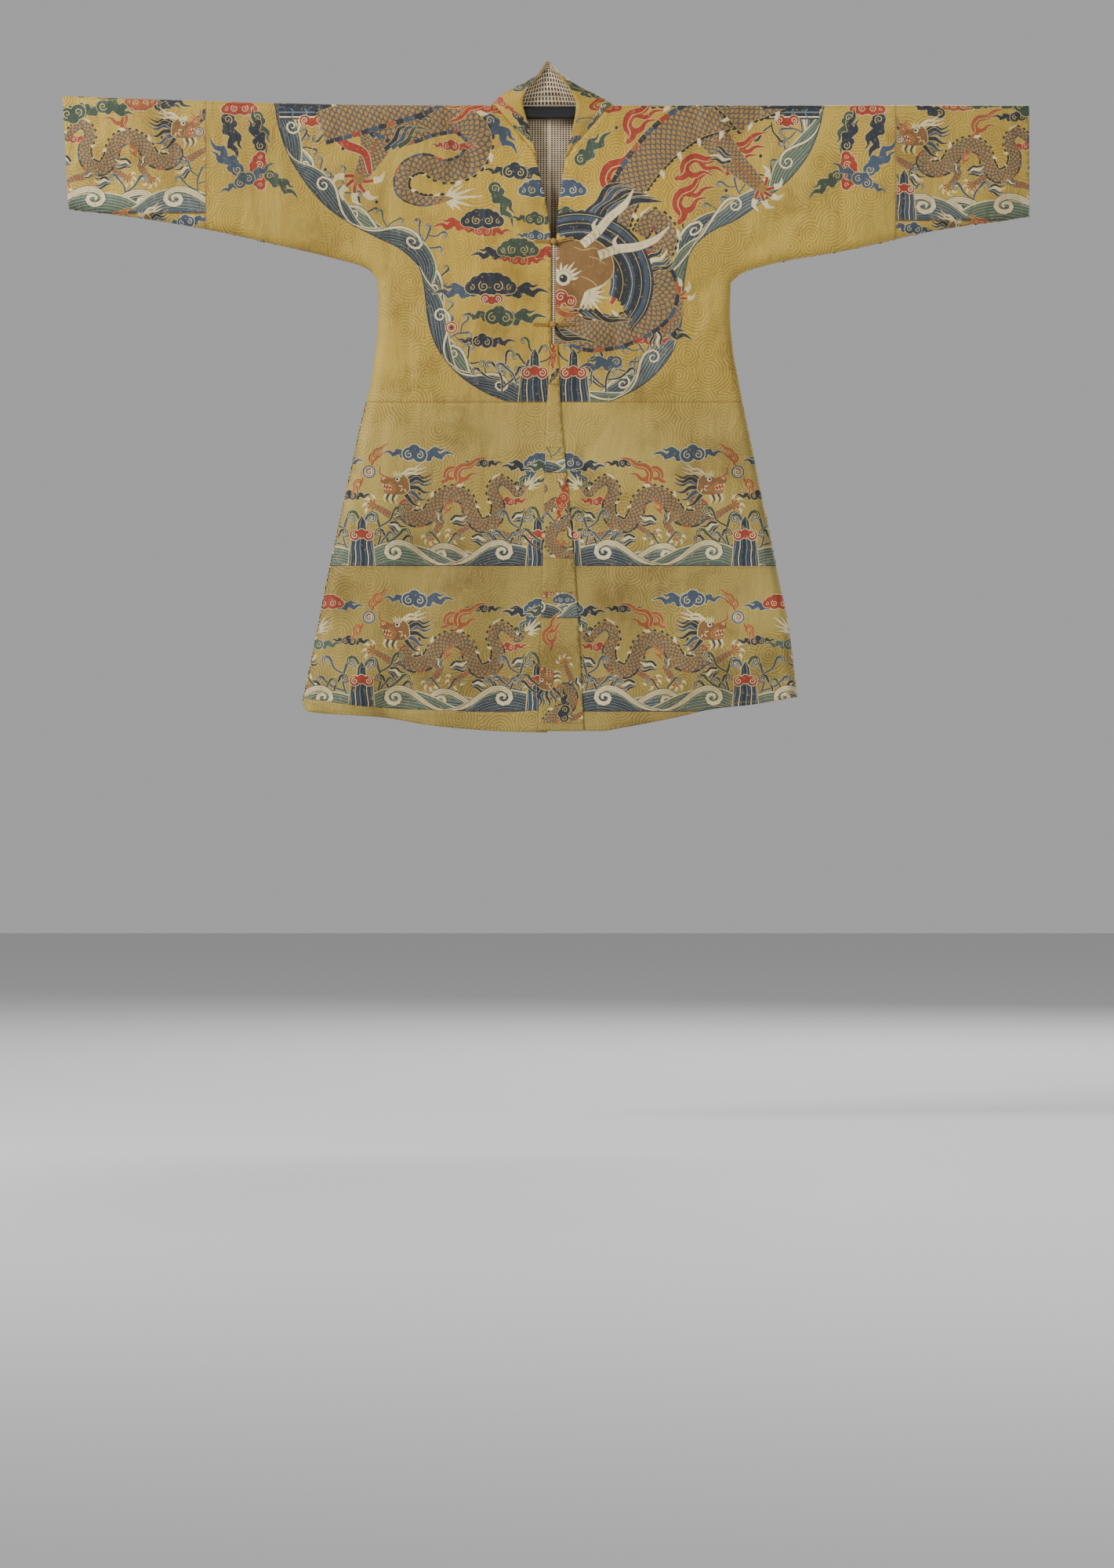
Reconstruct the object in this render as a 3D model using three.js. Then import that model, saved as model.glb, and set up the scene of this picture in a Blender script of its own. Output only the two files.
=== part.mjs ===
// Chuba: a long-sleeved wrap coat of patterned silk, hung flat by a straight rod run through its sleeves.
// Millimetres, +Z up, +X to the right of someone who faces the front, and -Y towards that person.
// The origin is the middle of the rod's axis.
//
// The cloth is one surface over the rod. A place on it is (x, h, side): side -1 is the front and +1 the back, and
// h is the height of the cloth when its curl over the rod is rolled out flat, so below the rod h is simply z.
import * as THREE from "three";

// ---- Driving dimensions ----
const ROD = { radius: 12.5, length: 1700, sides: 24 };
const CLOTH = 1.8; // silk and its lining, sewn together
const LINING = 1.0; // the lining where it shows as a layer of its own
const SEAM = 0.3; // gap between two pieces at a seam
const RIDGE = 14.9; // radius of the cloth's outer face over the rod
const CREST = (RIDGE * Math.PI) / 2; // h of the fold over the rod
const BACK_NECK = { drop: 5, corner: 0.88 }; // its seam: so far behind the fold, up to this share of its width
const EDGE_ROUND = 22; // the front and back close towards each other over this distance from a seam
const EDGE_STEPS = [11, 5, 1.5, 0]; // distances from that seam at which the rounding is drawn
const FLARE = { top: -200, bottom: -1180, depth: 18 }; // the skirt's extra depth, each side
const WAIST = -555; // h of the seam that joins skirt to bodice
const SLEEVE_SEAM = { left: -664, right: 654 }; // x of the seams that join the cuffs
const LEFT_RISE = { from: -300, span: 639, height: 17.7, power: 1.4 }; // the sleeve that lifts towards its cuff

// ---- Outlines. "left" and "right" are as seen from the front ----
const SIDE_SEAM = {
  left: [
    { h: -320, x: -337 },
    { h: -355, x: -334.5 },
    { h: -409, x: -336 },
    { h: -496, x: -346 },
    { h: -621, x: -373 },
    { h: -871, x: -427 },
    { h: -1101, x: -473 },
    { h: -1132, x: -480 },
  ],
  right: [
    { h: -326, x: 339 },
    { h: -382, x: 338 },
    { h: -450, x: 343 },
    { h: -504, x: 352.5 },
    { h: -621, x: 376 },
    { h: -871, x: 427 },
    { h: -985, x: 450 },
    { h: -1117, x: 467 },
  ],
};
const UNDERARM = {
  left: [
    { x: -337, h: -320 },
    { x: -349, h: -303 },
    { x: -365, h: -294 },
    { x: -406, h: -282 },
    { x: -540, h: -250 },
    { x: -664, h: -223 },
    { x: -796, h: -201 },
    { x: -945, h: -182 },
  ],
  right: [
    { x: 339, h: -326 },
    { x: 356, h: -309 },
    { x: 373, h: -302 },
    { x: 433, h: -286 },
    { x: 567, h: -262 },
    { x: 734, h: -225 },
    { x: 909, h: -199 },
  ],
};
const CUFF_END = {
  left: [
    { h: 43, x: -939 },
    { h: -185, x: -927 },
  ],
  right: [
    { h: 26, x: 909 },
    { h: -200, x: 909 },
  ],
};
// Edge of each front from the shoulder fold, down the cut-away neck and the V, to the hem.
const FRONT_EDGE = {
  left: [
    { h: CREST, x: -121 },
    { h: -78, x: -36 },
    { h: -159, x: -17 },
    { h: -238, x: -5 },
    { h: -444, x: -4.5 },
    { h: -1190, x: -12 },
  ],
  right: [
    { h: CREST, x: 118 },
    { h: -84, x: 24 },
    { h: -174, x: 9.5 },
    { h: -234, x: 6 },
    { h: -444, x: 3 },
    { h: -1190, x: -1 },
  ],
};
// Hem lines, from the centre (u 0) to the side seam (u 1).
const HEM = {
  frontLeft: [
    { u: 0, h: -1186 },
    { u: 0.2, h: -1183 },
    { u: 0.444, h: -1174 },
    { u: 0.692, h: -1156 },
    { u: 0.9, h: -1150 },
    { u: 0.98, h: -1145 },
    { u: 1, h: -1132 },
  ],
  frontRight: [
    { u: 0, h: -1181 },
    { u: 0.2, h: -1183 },
    { u: 0.28, h: -1177 },
    { u: 0.54, h: -1153 },
    { u: 0.64, h: -1142 },
    { u: 0.84, h: -1131 },
    { u: 1, h: -1117 },
  ],
  backLeft: [
    { u: 0, h: -1166 },
    { u: 0.3, h: -1163 },
    { u: 0.54, h: -1158 },
    { u: 0.78, h: -1149 },
    { u: 0.94, h: -1142 },
    { u: 1, h: -1132 },
  ],
  backRight: [
    { u: 0, h: -1166 },
    { u: 0.19, h: -1156 },
    { u: 0.36, h: -1150 },
    { u: 0.64, h: -1139 },
    { u: 0.86, h: -1128 },
    { u: 1, h: -1117 },
  ],
};
// Seams that join the plain hem bands, from the centre to the side seam.
const HEM_SEAM = {
  frontLeft: [
    { u: 0, h: -1142 },
    { u: 0.2, h: -1147 },
    { u: 0.444, h: -1143 },
    { u: 0.692, h: -1138 },
    { u: 1, h: -1120 },
  ],
  backLeft: [
    { u: 0, h: -1124 },
    { u: 0.5, h: -1129 },
    { u: 0.78, h: -1131 },
    { u: 1, h: -1121 },
  ],
  backRight: [
    { u: 0, h: -1124 },
    { u: 0.36, h: -1118 },
    { u: 0.64, h: -1114 },
    { u: 0.86, h: -1107 },
    { u: 1, h: -1098 },
  ],
};
// The narrow band sewn over the front opening.
const STRIP = [
  { h: -444, left: -4.5, right: 8 },
  { h: -579, left: -13.5, right: 15 },
  { h: -684, left: -16.5, right: 24 },
  { h: -834, left: -19.5, right: 37.5 },
  { h: -984, left: -24, right: 48 },
  { h: -1183, left: -30, right: 58 },
];
const STRIP_GAP = 0.6; // between that band and the fronts
// Soft vertical flutes of the skirt: x at the hem, half width, and how far out (+) or in (-) at the hem.
const FLUTES = {
  front: [
    { x: -395, width: 42, out: 7 },
    { x: -300, width: 36, out: -5 },
    { x: -205, width: 48, out: 8 },
    { x: -100, width: 34, out: -4 },
    { x: 110, width: 40, out: 6 },
    { x: 195, width: 36, out: -5 },
    { x: 285, width: 50, out: 8 },
    { x: 390, width: 40, out: 6 },
  ],
  back: [
    { x: -410, width: 38, out: 6 },
    { x: -320, width: 40, out: -6 },
    { x: -215, width: 48, out: 9 },
    { x: -115, width: 36, out: -4 },
    { x: -20, width: 44, out: 5 },
    { x: 85, width: 40, out: -5 },
    { x: 180, width: 46, out: 8 },
    { x: 275, width: 40, out: -6 },
    { x: 370, width: 44, out: 8 },
  ],
};
const FLUTE_FAN = { top: -520, narrow: 0.72 }; // the flutes start here, this much nearer the centre
// Creases pressed by the way it hangs, each from (x, h) to (toX, toH), raised (+) or sunk (-) at its middle.
const CREASES = {
  front: [
    { x: -330, h: -300, toX: -230, toH: -400, width: 13, out: -4 },
    { x: -335, h: -345, toX: -262, toH: -440, width: 15, out: 3 },
    { x: -345, h: -270, toX: -440, toH: -215, width: 12, out: -3 },
    { x: 334, h: -300, toX: 240, toH: -385, width: 13, out: -4 },
    { x: 336, h: -350, toX: 270, toH: -450, width: 15, out: 3 },
    { x: 350, h: -275, toX: 450, toH: -225, width: 12, out: -3 },
    { x: -118, h: 6, toX: -42, toH: -100, width: 14, out: -3 },
    { x: -92, h: -140, toX: -50, toH: -200, width: 12, out: -3 },
    { x: 112, h: 0, toX: 52, toH: -96, width: 14, out: -3 },
    { x: -62, h: -615, toX: -22, toH: -760, width: 14, out: -4 },
    { x: 46, h: -650, toX: 84, toH: -690, width: 13, out: -3 },
  ],
  back: [
    { x: -332, h: -305, toX: -225, toH: -410, width: 14, out: -4 },
    { x: 332, h: -305, toX: 228, toH: -405, width: 14, out: -4 },
    { x: -348, h: -270, toX: -450, toH: -212, width: 12, out: -3 },
    { x: 350, h: -275, toX: 455, toH: -222, width: 12, out: -3 },
  ],
};

// Collar ribs from the left front tip, round the back of the neck, to the right front tip. Each runs from the neck
// seam, over the crease, to the free edge. The seam's place is its h on a front, or its x on the back.
const COLLAR = [
  { h: -78, crease: [-35.2, -17, -79], edge: [-33.6, -17, -80] },
  { h: -47, crease: [-54, -18, -45], edge: [-44, -17.6, -44] },
  { h: -12, crease: [-72, -18.6, -9], edge: [-52, -18.2, -10] },
  { h: 0, crease: [-80, -18.4, 2], edge: [-55.5, -18, 2] },
  { h: 11, crease: [-88, -17.6, 13], edge: [-58.5, -17.6, 13] },
  { h: CREST, crease: [-97, -4, 33.5], edge: [-57.5, -16.5, 28] },
  { x: -106.5, crease: [-79, 2, 47], edge: [-50, -15, 46] },
  { x: -82, crease: [-54, 3.4, 60], edge: [-35, -13, 62.5] },
  { x: -52, crease: [-33.5, 4, 71], edge: [-25, -9, 74] },
  { x: -28, crease: [-22.5, 4, 85], edge: [-18.5, -4.5, 87] },
  { x: -12, crease: [-16, 3.6, 94], edge: [-14.5, -1, 98] },
  { x: 0, crease: [-10, 3.6, 96], edge: [-9.5, -0.5, 100] },
  { x: 14, crease: [-3, 3.6, 92], edge: [-4.5, -3, 95] },
  { x: 34, crease: [10, 4, 79.5], edge: [6, -8, 77] },
  { x: 60, crease: [34, 3.4, 62], edge: [19, -12.5, 60] },
  { x: 84, crease: [60, 2.4, 46], edge: [33, -15, 42] },
  { x: 103.8, crease: [82, 0, 35], edge: [40, -16.5, 26] },
  { h: CREST, crease: [92, -5, 27.5], edge: [43, -17.4, 15] },
  { h: 12, crease: [84, -16.6, 11], edge: [42.5, -17.8, 3] },
  { h: 0, crease: [75, -18.4, -3], edge: [41, -18.2, -8] },
  { h: -22, crease: [62, -18.6, -22], edge: [38, -18.2, -24] },
  { h: -52, crease: [42, -18, -52], edge: [32, -17.6, -52] },
  { h: -83.5, crease: [24, -17, -84.5], edge: [22.6, -17, -86] },
];
const COLLAR_STEPS = 2; // steps from each rib to the next
const COLLAR_SHARES = [0, 0.1, 0.24, 0.38, 0.5, 0.75, 1]; // places on a rib: its crease is at 0.5
const COLLAR_GAP = 0.7; // between the collar and the panels it is sewn to
const COLLAR_LINING = { first: 14, last: 28, low: 1, high: 3 }; // the part of the collar's grid that it backs

// Knot buttons with a loop of doubled cord each side. x, z: the knot. left, right: how far the cords reach.
const FROGS = {
  upper: { x: 0, z: -247, left: -35, right: 36, tilt: 6 },
  lower: { x: -1, z: -406, left: -37, right: 36, tilt: 1 },
};
const KNOT_RADIUS = 6.5;
const CORD = { radius: 1.25, apart: 3.4, sides: 8, steps: 14 };

// ---- Materials ----
const finish = (color, roughness) => new THREE.MeshStandardMaterial({ color, roughness, metalness: 0 });
const SILK = finish(0xb8964e, 0.62);
const PLAIN_SILK = finish(0xb3924f, 0.6);
const COTTON = finish(0xb9a68c, 0.9);
const GOLD_CORD = finish(0xa77a2c, 0.7);
const BLACK_METAL = finish(0x16171b, 0.45);

// ---- Curves through short tables ----
const clamp01 = (t) => Math.min(1, Math.max(0, t));
const smooth = (t) => clamp01(t) ** 2 * (3 - 2 * clamp01(t));
const lerp = (a, b, t) => a + (b - a) * t;

// The value in column "value" at a place in column "key": a cubic through the rows that never overshoots them, or
// straight runs between them.
function along(table, key, value, straight = false) {
  const rows = [...table].sort((a, b) => a[key] - b[key]);
  const ks = rows.map((r) => r[key]);
  const vs = rows.map((r) => r[value]);
  const slopes = ks.slice(1).map((k, i) => (vs[i + 1] - vs[i]) / (k - ks[i]));
  const tangents = ks.map((_, i) => {
    const before = slopes[Math.max(0, i - 1)];
    const after = slopes[Math.min(slopes.length - 1, i)];
    return before * after <= 0 ? 0 : (2 * before * after) / (before + after);
  });
  return (place) => {
    const p = Math.min(ks[ks.length - 1], Math.max(ks[0], place));
    let i = 0;
    while (i < ks.length - 2 && p > ks[i + 1]) i += 1;
    const width = ks[i + 1] - ks[i];
    const t = (p - ks[i]) / width;
    if (straight) return lerp(vs[i], vs[i + 1], t);
    const s = 1 - t;
    const ends = vs[i] * s * s * (1 + 2 * t) + vs[i + 1] * t * t * (1 + 2 * s);
    return ends + width * t * s * (tangents[i] * s - tangents[i + 1] * t);
  };
}

const sideSeam = { left: along(SIDE_SEAM.left, "h", "x"), right: along(SIDE_SEAM.right, "h", "x") };
const underarm = { left: along(UNDERARM.left, "x", "h"), right: along(UNDERARM.right, "x", "h") };
const cuffEnd = { left: along(CUFF_END.left, "h", "x"), right: along(CUFF_END.right, "h", "x") };
const frontEdge = { left: along(FRONT_EDGE.left, "h", "x", true), right: along(FRONT_EDGE.right, "h", "x", true) };
const armpit = { left: UNDERARM.left[0], right: UNDERARM.right[0] };
const outward = { left: -1, right: 1 };

// ---- The cloth's surface ----
function rise(x) {
  const past = Math.max(0, LEFT_RISE.from - x) / LEFT_RISE.span;
  return LEFT_RISE.height * past ** LEFT_RISE.power;
}

// Points along the underarm and side seam of one half, from cuff to hem.
function closingSeam(half) {
  const arm = UNDERARM[half];
  const cuffX = arm[arm.length - 1].x;
  const side = SIDE_SEAM[half];
  const corner = side[side.length - 1].h;
  const steps = 40;
  const points = [];
  for (let i = 0; i <= steps; i += 1) {
    const x = lerp(cuffX, armpit[half].x, i / steps);
    points.push([x, underarm[half](x)]);
  }
  for (let i = 1; i <= steps; i += 1) {
    const h = lerp(armpit[half].h, corner, i / steps);
    points.push([sideSeam[half](h), h]);
  }
  return points;
}
const closing = { left: closingSeam("left"), right: closingSeam("right") };

function seamDistance(x, h) {
  const points = closing[x < 0 ? "left" : "right"];
  let best = Infinity;
  for (let i = 1; i < points.length; i += 1) {
    const [ax, ah] = points[i - 1];
    const [bx, bh] = points[i];
    const dx = bx - ax;
    const dh = bh - ah;
    const t = clamp01(((x - ax) * dx + (h - ah) * dh) / (dx * dx + dh * dh));
    best = Math.min(best, Math.hypot(x - ax - dx * t, h - ah - dh * t));
  }
  return best;
}

function fluteDepth(x, h, side) {
  const down = clamp01((FLUTE_FAN.top - h) / (FLUTE_FAN.top - FLARE.bottom));
  const fan = lerp(FLUTE_FAN.narrow, 1, down);
  const table = side < 0 ? FLUTES.front : FLUTES.back;
  const total = table.reduce((sum, f) => sum + f.out * Math.exp(-(((x - f.x * fan) / f.width) ** 2)), 0);
  return total * smooth(down);
}

function creaseDepth(x, h, side) {
  const table = side < 0 ? CREASES.front : CREASES.back;
  return table.reduce((sum, c) => {
    const dx = c.toX - c.x;
    const dh = c.toH - c.h;
    const length = Math.hypot(dx, dh);
    const t = ((x - c.x) * dx + (h - c.h) * dh) / length ** 2;
    const off = ((x - c.x) * dh - (h - c.h) * dx) / length / c.width;
    const ends = smooth(t / 0.4) * smooth((1 - t) / 0.4);
    return sum + c.out * ends * Math.exp(-off * off);
  }, 0);
}

// How far the outer face stands from the mid plane of the garment.
function halfDepth(x, h, side) {
  const flare = FLARE.depth * smooth((FLARE.top - h) / (FLARE.top - FLARE.bottom));
  const full = RIDGE + flare + fluteDepth(x, h, side) + creaseDepth(x, h, side);
  const near = 1 - clamp01(seamDistance(x, h) / EDGE_ROUND);
  return SEAM / 2 + (full - SEAM / 2) * Math.sqrt(Math.max(0, 1 - near * near));
}

function onCloth(x, h, side) {
  const drop = CREST + rise(x) - h;
  if (drop < CREST) {
    const angle = drop / RIDGE;
    return new THREE.Vector3(x, side * RIDGE * Math.sin(angle), rise(x) + RIDGE * Math.cos(angle));
  }
  return new THREE.Vector3(x, side * halfDepth(x, h, side), h);
}

// The same place moved out of the cloth, or into it where "out" is negative.
function offCloth(x, h, side, out) {
  const e = 0.5;
  const across = onCloth(x + e, h, side).sub(onCloth(x - e, h, side));
  const up = onCloth(x, h + e, side).sub(onCloth(x, h - e, side));
  const normal = across.cross(up).normalize();
  if (normal.y * side < 0) normal.negate();
  return onCloth(x, h, side).addScaledVector(normal, out);
}

// ---- Sheets of cloth, made solid ----
// A sheet is made from grids of points. Grids that share an edge are joined along it.
class Sheet {
  constructor() {
    this.points = [];
    this.triangles = [];
    this.found = new Map();
  }

  index(p) {
    const key = [p.x, p.y, p.z].map((v) => Math.round(v * 500)).join();
    if (!this.found.has(key)) {
      this.found.set(key, this.points.length);
      this.points.push(p.clone());
    }
    return this.found.get(key);
  }

  // rows of points, with the outer face towards "facing" at the grid's middle
  add(rows, facing) {
    const ids = rows.map((row) => row.map((p) => this.index(p)));
    const r = Math.floor(rows.length / 2) - 1;
    const c = Math.floor(rows[0].length / 2) - 1;
    const a = rows[r][c];
    const normal = rows[r][c + 1].clone().sub(a).cross(rows[r + 1][c].clone().sub(a));
    const flip = normal.dot(facing) < 0;
    for (let i = 1; i < ids.length; i += 1)
      for (let j = 1; j < ids[i].length; j += 1) {
        const quad = [ids[i - 1][j - 1], ids[i - 1][j], ids[i][j], ids[i][j - 1]];
        this.face(quad[0], quad[1], quad[2], flip);
        this.face(quad[0], quad[2], quad[3], flip);
      }
    return this;
  }

  face(a, b, c, flip) {
    if (a === b || b === c || a === c) return;
    this.triangles.push(flip ? [a, c, b] : [a, b, c]);
  }

  normals() {
    const sums = this.points.map(() => new THREE.Vector3());
    for (const t of this.triangles) {
      const [a, b, c] = t.map((i) => this.points[i]);
      const n = b.clone().sub(a).cross(c.clone().sub(a));
      t.forEach((i) => sums[i].add(n));
    }
    // At a seam between front and back the wall's edge faces the other one squarely.
    sums.forEach((n, i) => {
      if (Math.abs(this.points[i].y) < SEAM && n.z < 0.5 * n.length()) n.y = 0;
    });
    return sums.map((n) => n.normalize());
  }

  // A closed wall between the sheet and the same sheet moved in by "thickness".
  wall(thickness) {
    const normals = this.normals();
    const count = this.points.length;
    const inner = this.points.map((p, i) => p.clone().addScaledVector(normals[i], -thickness));
    const index = [];
    const edges = new Set();
    for (const [a, b, c] of this.triangles) {
      index.push(a, b, c, count + a, count + c, count + b);
      [[a, b], [b, c], [c, a]].forEach(([p, q]) => edges.add(`${p},${q}`));
    }
    for (const edge of edges) {
      const [p, q] = edge.split(",").map(Number);
      if (!edges.has(`${q},${p}`)) index.push(q, p, count + q, p, count + p, count + q);
    }
    const geometry = new THREE.BufferGeometry().setFromPoints([...this.points, ...inner]);
    geometry.setIndex(index);
    return geometry;
  }
}

// ---- Grids on the cloth ----
const FRONT = new THREE.Vector3(0, -1, 0);
const BACK = new THREE.Vector3(0, 1, 0);
const facing = (side) => (side < 0 ? FRONT : BACK);
const RIDGE_ROWS = [0, 0.25, 0.5, 0.75, 1]; // shares of the curl over the rod
const ROWS = { toNeckPoint: 2, toArmpit: 4, toWaist: 5 };
const COLUMNS = { neck: 3, shoulder: 10, sleeve: 7, cuff: 6, skirt: 15 };

// Heights of the rows from the fold down to the underarm seam at x. One row meets the low end of the collar seam.
function rowsToUnderarm(half, x, bottom) {
  const curl = RIDGE_ROWS.map((t) => CREST + rise(x) - CREST * t);
  const neckPoint = FRONT_EDGE[half][1].h / (armpit[half].h + EDGE_ROUND);
  const upper = spread(0, neckPoint, ROWS.toNeckPoint).slice(1);
  const lower = spread(neckPoint, 1, ROWS.toArmpit).slice(1);
  const straight = [...upper, ...lower].map((t) => lerp(rise(x), bottom + EDGE_ROUND, t));
  return [...curl, ...straight, ...EDGE_STEPS.map((q) => bottom + q)];
}

function spread(from, to, steps) {
  return Array.from({ length: steps + 1 }, (_, i) => lerp(from, to, i / steps));
}

// Places across a row from its inner edge to the side, closer together near the side seam.
function across(inner, outer, steps, sign) {
  return [...spread(inner, outer - sign * EDGE_ROUND, steps), ...EDGE_STEPS.map((q) => outer - sign * q)];
}

// A stretch of sleeve, front or back, between two x places, which may depend on h.
function sleeveGrid(half, side, from, to, columns) {
  const rowCount = rowsToUnderarm(half, 0, 0).length;
  return Array.from({ length: rowCount }, (_, k) =>
    Array.from({ length: columns + 1 }, (_, c) => {
      const guess = lerp(from(0), to(0), c / columns);
      const h = rowsToUnderarm(half, guess, underarm[half](guess))[k];
      const x = lerp(from(h), to(h), c / columns);
      return onCloth(x, rowsToUnderarm(half, x, underarm[half](x))[k], side);
    }),
  );
}

// The bodice rows from the fold to the waist: the height at x, and the x of the armhole or side seam.
function bodiceRows(half) {
  const pit = armpit[half];
  const count = rowsToUnderarm(half, 0, pit.h).length;
  const upper = Array.from({ length: count }, (_, k) => ({
    height: (x) => rowsToUnderarm(half, x, pit.h)[k],
    outer: pit.x,
  }));
  const lower = spread(pit.h, WAIST, ROWS.toWaist).slice(1);
  return [...upper, ...lower.map((h) => ({ height: () => h, outer: sideSeam[half](h) }))];
}

function bodiceFront(half) {
  return bodiceRows(half).map(({ height, outer }) =>
    across(frontEdge[half](height(0)), outer, COLUMNS.shoulder, outward[half]).map((x) => onCloth(x, height(x), -1)),
  );
}

// How far behind the fold the back neck seam lies at x.
function backNeckDrop(half, x) {
  const share = x / FRONT_EDGE[half][0].x;
  return BACK_NECK.drop * clamp01((1 - share) / (1 - BACK_NECK.corner));
}

function bodiceBack(half) {
  const shoulder = FRONT_EDGE[half][0].x;
  const neck = spread((outward[half] * SEAM) / 2, shoulder * BACK_NECK.corner, COLUMNS.neck);
  return bodiceRows(half).map(({ height, outer }, k) => {
    const places = [...neck, ...across(shoulder, outer, COLUMNS.shoulder, outward[half])];
    return places.map((x) => onCloth(x, height(x) - (k === 0 ? backNeckDrop(half, x) : 0), 1));
  });
}

// A bodice half with its upper sleeve: one length of silk, front and back, folded over the shoulder.
function bodiceHalf(half) {
  const sheet = new Sheet();
  const arm = () => armpit[half].x;
  const seam = () => SLEEVE_SEAM[half];
  sheet.add(bodiceFront(half), FRONT).add(bodiceBack(half), BACK);
  for (const side of [-1, 1]) sheet.add(sleeveGrid(half, side, arm, seam, COLUMNS.sleeve), facing(side));
  return sheet;
}

function cuff(half) {
  const sheet = new Sheet();
  const seam = () => SLEEVE_SEAM[half] + outward[half] * SEAM;
  for (const side of [-1, 1]) sheet.add(sleeveGrid(half, side, seam, cuffEnd[half], COLUMNS.cuff), facing(side));
  return sheet;
}

// A skirt panel between two lines, each a height by the share u of the way from the centre to the side seam.
function skirtPanel({ half, side, top, bottom, rows }) {
  const centre = side < 0 ? frontEdge[half] : () => (outward[half] * SEAM) / 2;
  const grid = spread(0, 1, rows).map((t) => {
    const inner = centre(lerp(top(0), bottom(0), t));
    const outer = sideSeam[half](lerp(top(1), bottom(1), t));
    return across(inner, outer, COLUMNS.skirt, outward[half]).map((x) => {
      const u = (x - inner) / (outer - inner);
      return onCloth(x, lerp(top(u), bottom(u), t), side);
    });
  });
  return new Sheet().add(grid, facing(side));
}

function skirt(half, side, hem, seam) {
  const top = () => WAIST - SEAM;
  const bottom = along(seam || hem, "u", "h");
  return skirtPanel({ half, side, top, bottom, rows: 11 });
}

function hemBand(half, side, hem, seam) {
  const seamLine = along(seam, "u", "h");
  const top = (u) => seamLine(u) - SEAM;
  return skirtPanel({ half, side, top, bottom: along(hem, "u", "h"), rows: 1 });
}

function frontStrip() {
  const left = along(STRIP, "h", "left");
  const right = along(STRIP, "h", "right");
  const out = CLOTH + STRIP_GAP;
  const grid = spread(STRIP[0].h, STRIP[STRIP.length - 1].h, 16).map((h) =>
    spread(left(h), right(h), 3).map((x) => offCloth(x, h, -1, out)),
  );
  return new Sheet().add(grid, FRONT);
}

// The lining seen through the neck, on the inside of the back.
function bodyLining() {
  const size = { top: -7, bottom: -456, halfWidth: 66 };
  const grid = spread(size.top, size.bottom, 8).map((h) =>
    spread(-size.halfWidth, size.halfWidth, 4).map((x) => offCloth(x, h, 1, -CLOTH - SEAM)),
  );
  return new Sheet().add(grid, BACK);
}

// ---- Collar ----
// The place on the neck seam of a rib, or of the share t of the way to the next one.
function collarSeam(rib, next, t) {
  const half = rib.crease[0] + next.crease[0] < 0 ? "left" : "right";
  const place = (r, key, value) => (key in r ? r[key] : value);
  if ("x" in rib || "x" in next) {
    const shoulder = FRONT_EDGE[half][0].x;
    const x = lerp(place(rib, "x", shoulder), place(next, "x", shoulder), t);
    const seam = onCloth(x, CREST - backNeckDrop(x < 0 ? "left" : "right", x), 1);
    return seam.add(new THREE.Vector3((-x / Math.abs(shoulder)) * 2 * COLLAR_GAP, -COLLAR_GAP, COLLAR_GAP));
  }
  const h = lerp(rib.h, next.h, t);
  const inwards = -outward[half] * COLLAR_GAP * (1 + clamp01(h / CREST));
  const seam = onCloth(frontEdge[half](h) + inwards, h, -1);
  return seam.add(new THREE.Vector3(0, 0, COLLAR_GAP * clamp01(h / CREST)));
}

// Rows of points from the neck seam to the free edge, all the way round.
function collarGrid() {
  const creases = new THREE.CatmullRomCurve3(COLLAR.map((r) => new THREE.Vector3(...r.crease)));
  const edges = new THREE.CatmullRomCurve3(COLLAR.map((r) => new THREE.Vector3(...r.edge)));
  const last = COLLAR.length - 1;
  return spread(0, last, last * COLLAR_STEPS).map((place) => {
    const i = Math.min(last - 1, Math.floor(place));
    const base = collarSeam(COLLAR[i], COLLAR[i + 1], place - i);
    const crease = creases.getPoint(place / last);
    const edge = edges.getPoint(place / last);
    const curve = new THREE.CatmullRomCurve3([base, crease, edge], false, "centripetal");
    return COLLAR_SHARES.map((t) => curve.getPoint(t));
  });
}

function collar() {
  return new Sheet().add(collarGrid(), BACK);
}

// The collar's inner face, where the lining shows above the rod: the collar's own points, moved in.
function collarLining() {
  const whole = collar();
  const normals = whole.normals();
  const { first, last, low, high } = COLLAR_LINING;
  const rows = collarGrid().slice(first, last + 1);
  const moved = rows.map((row) =>
    row.slice(low, high + 1).map((p) => p.clone().addScaledVector(normals[whole.index(p)], -CLOTH - SEAM)),
  );
  return new Sheet().add(moved, BACK);
}

// ---- Knot buttons and cords ----
// A knot rests on the nearer edge of the two that it holds together.
function knotCentre(frog) {
  const toEdge = Math.min(...["left", "right"].map((half) => Math.abs(frontEdge[half](frog.z) - frog.x)));
  const front = onCloth(frog.x + 10, frog.z, -1).y;
  const stand = Math.sqrt((KNOT_RADIUS + SEAM) ** 2 - toEdge ** 2);
  return new THREE.Vector3(frog.x, front - stand, frog.z);
}

function knot(frog) {
  const geometry = new THREE.SphereGeometry(KNOT_RADIUS, 14, 10);
  return geometry.rotateX(Math.PI / 2).translate(...knotCentre(frog).toArray());
}

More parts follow.
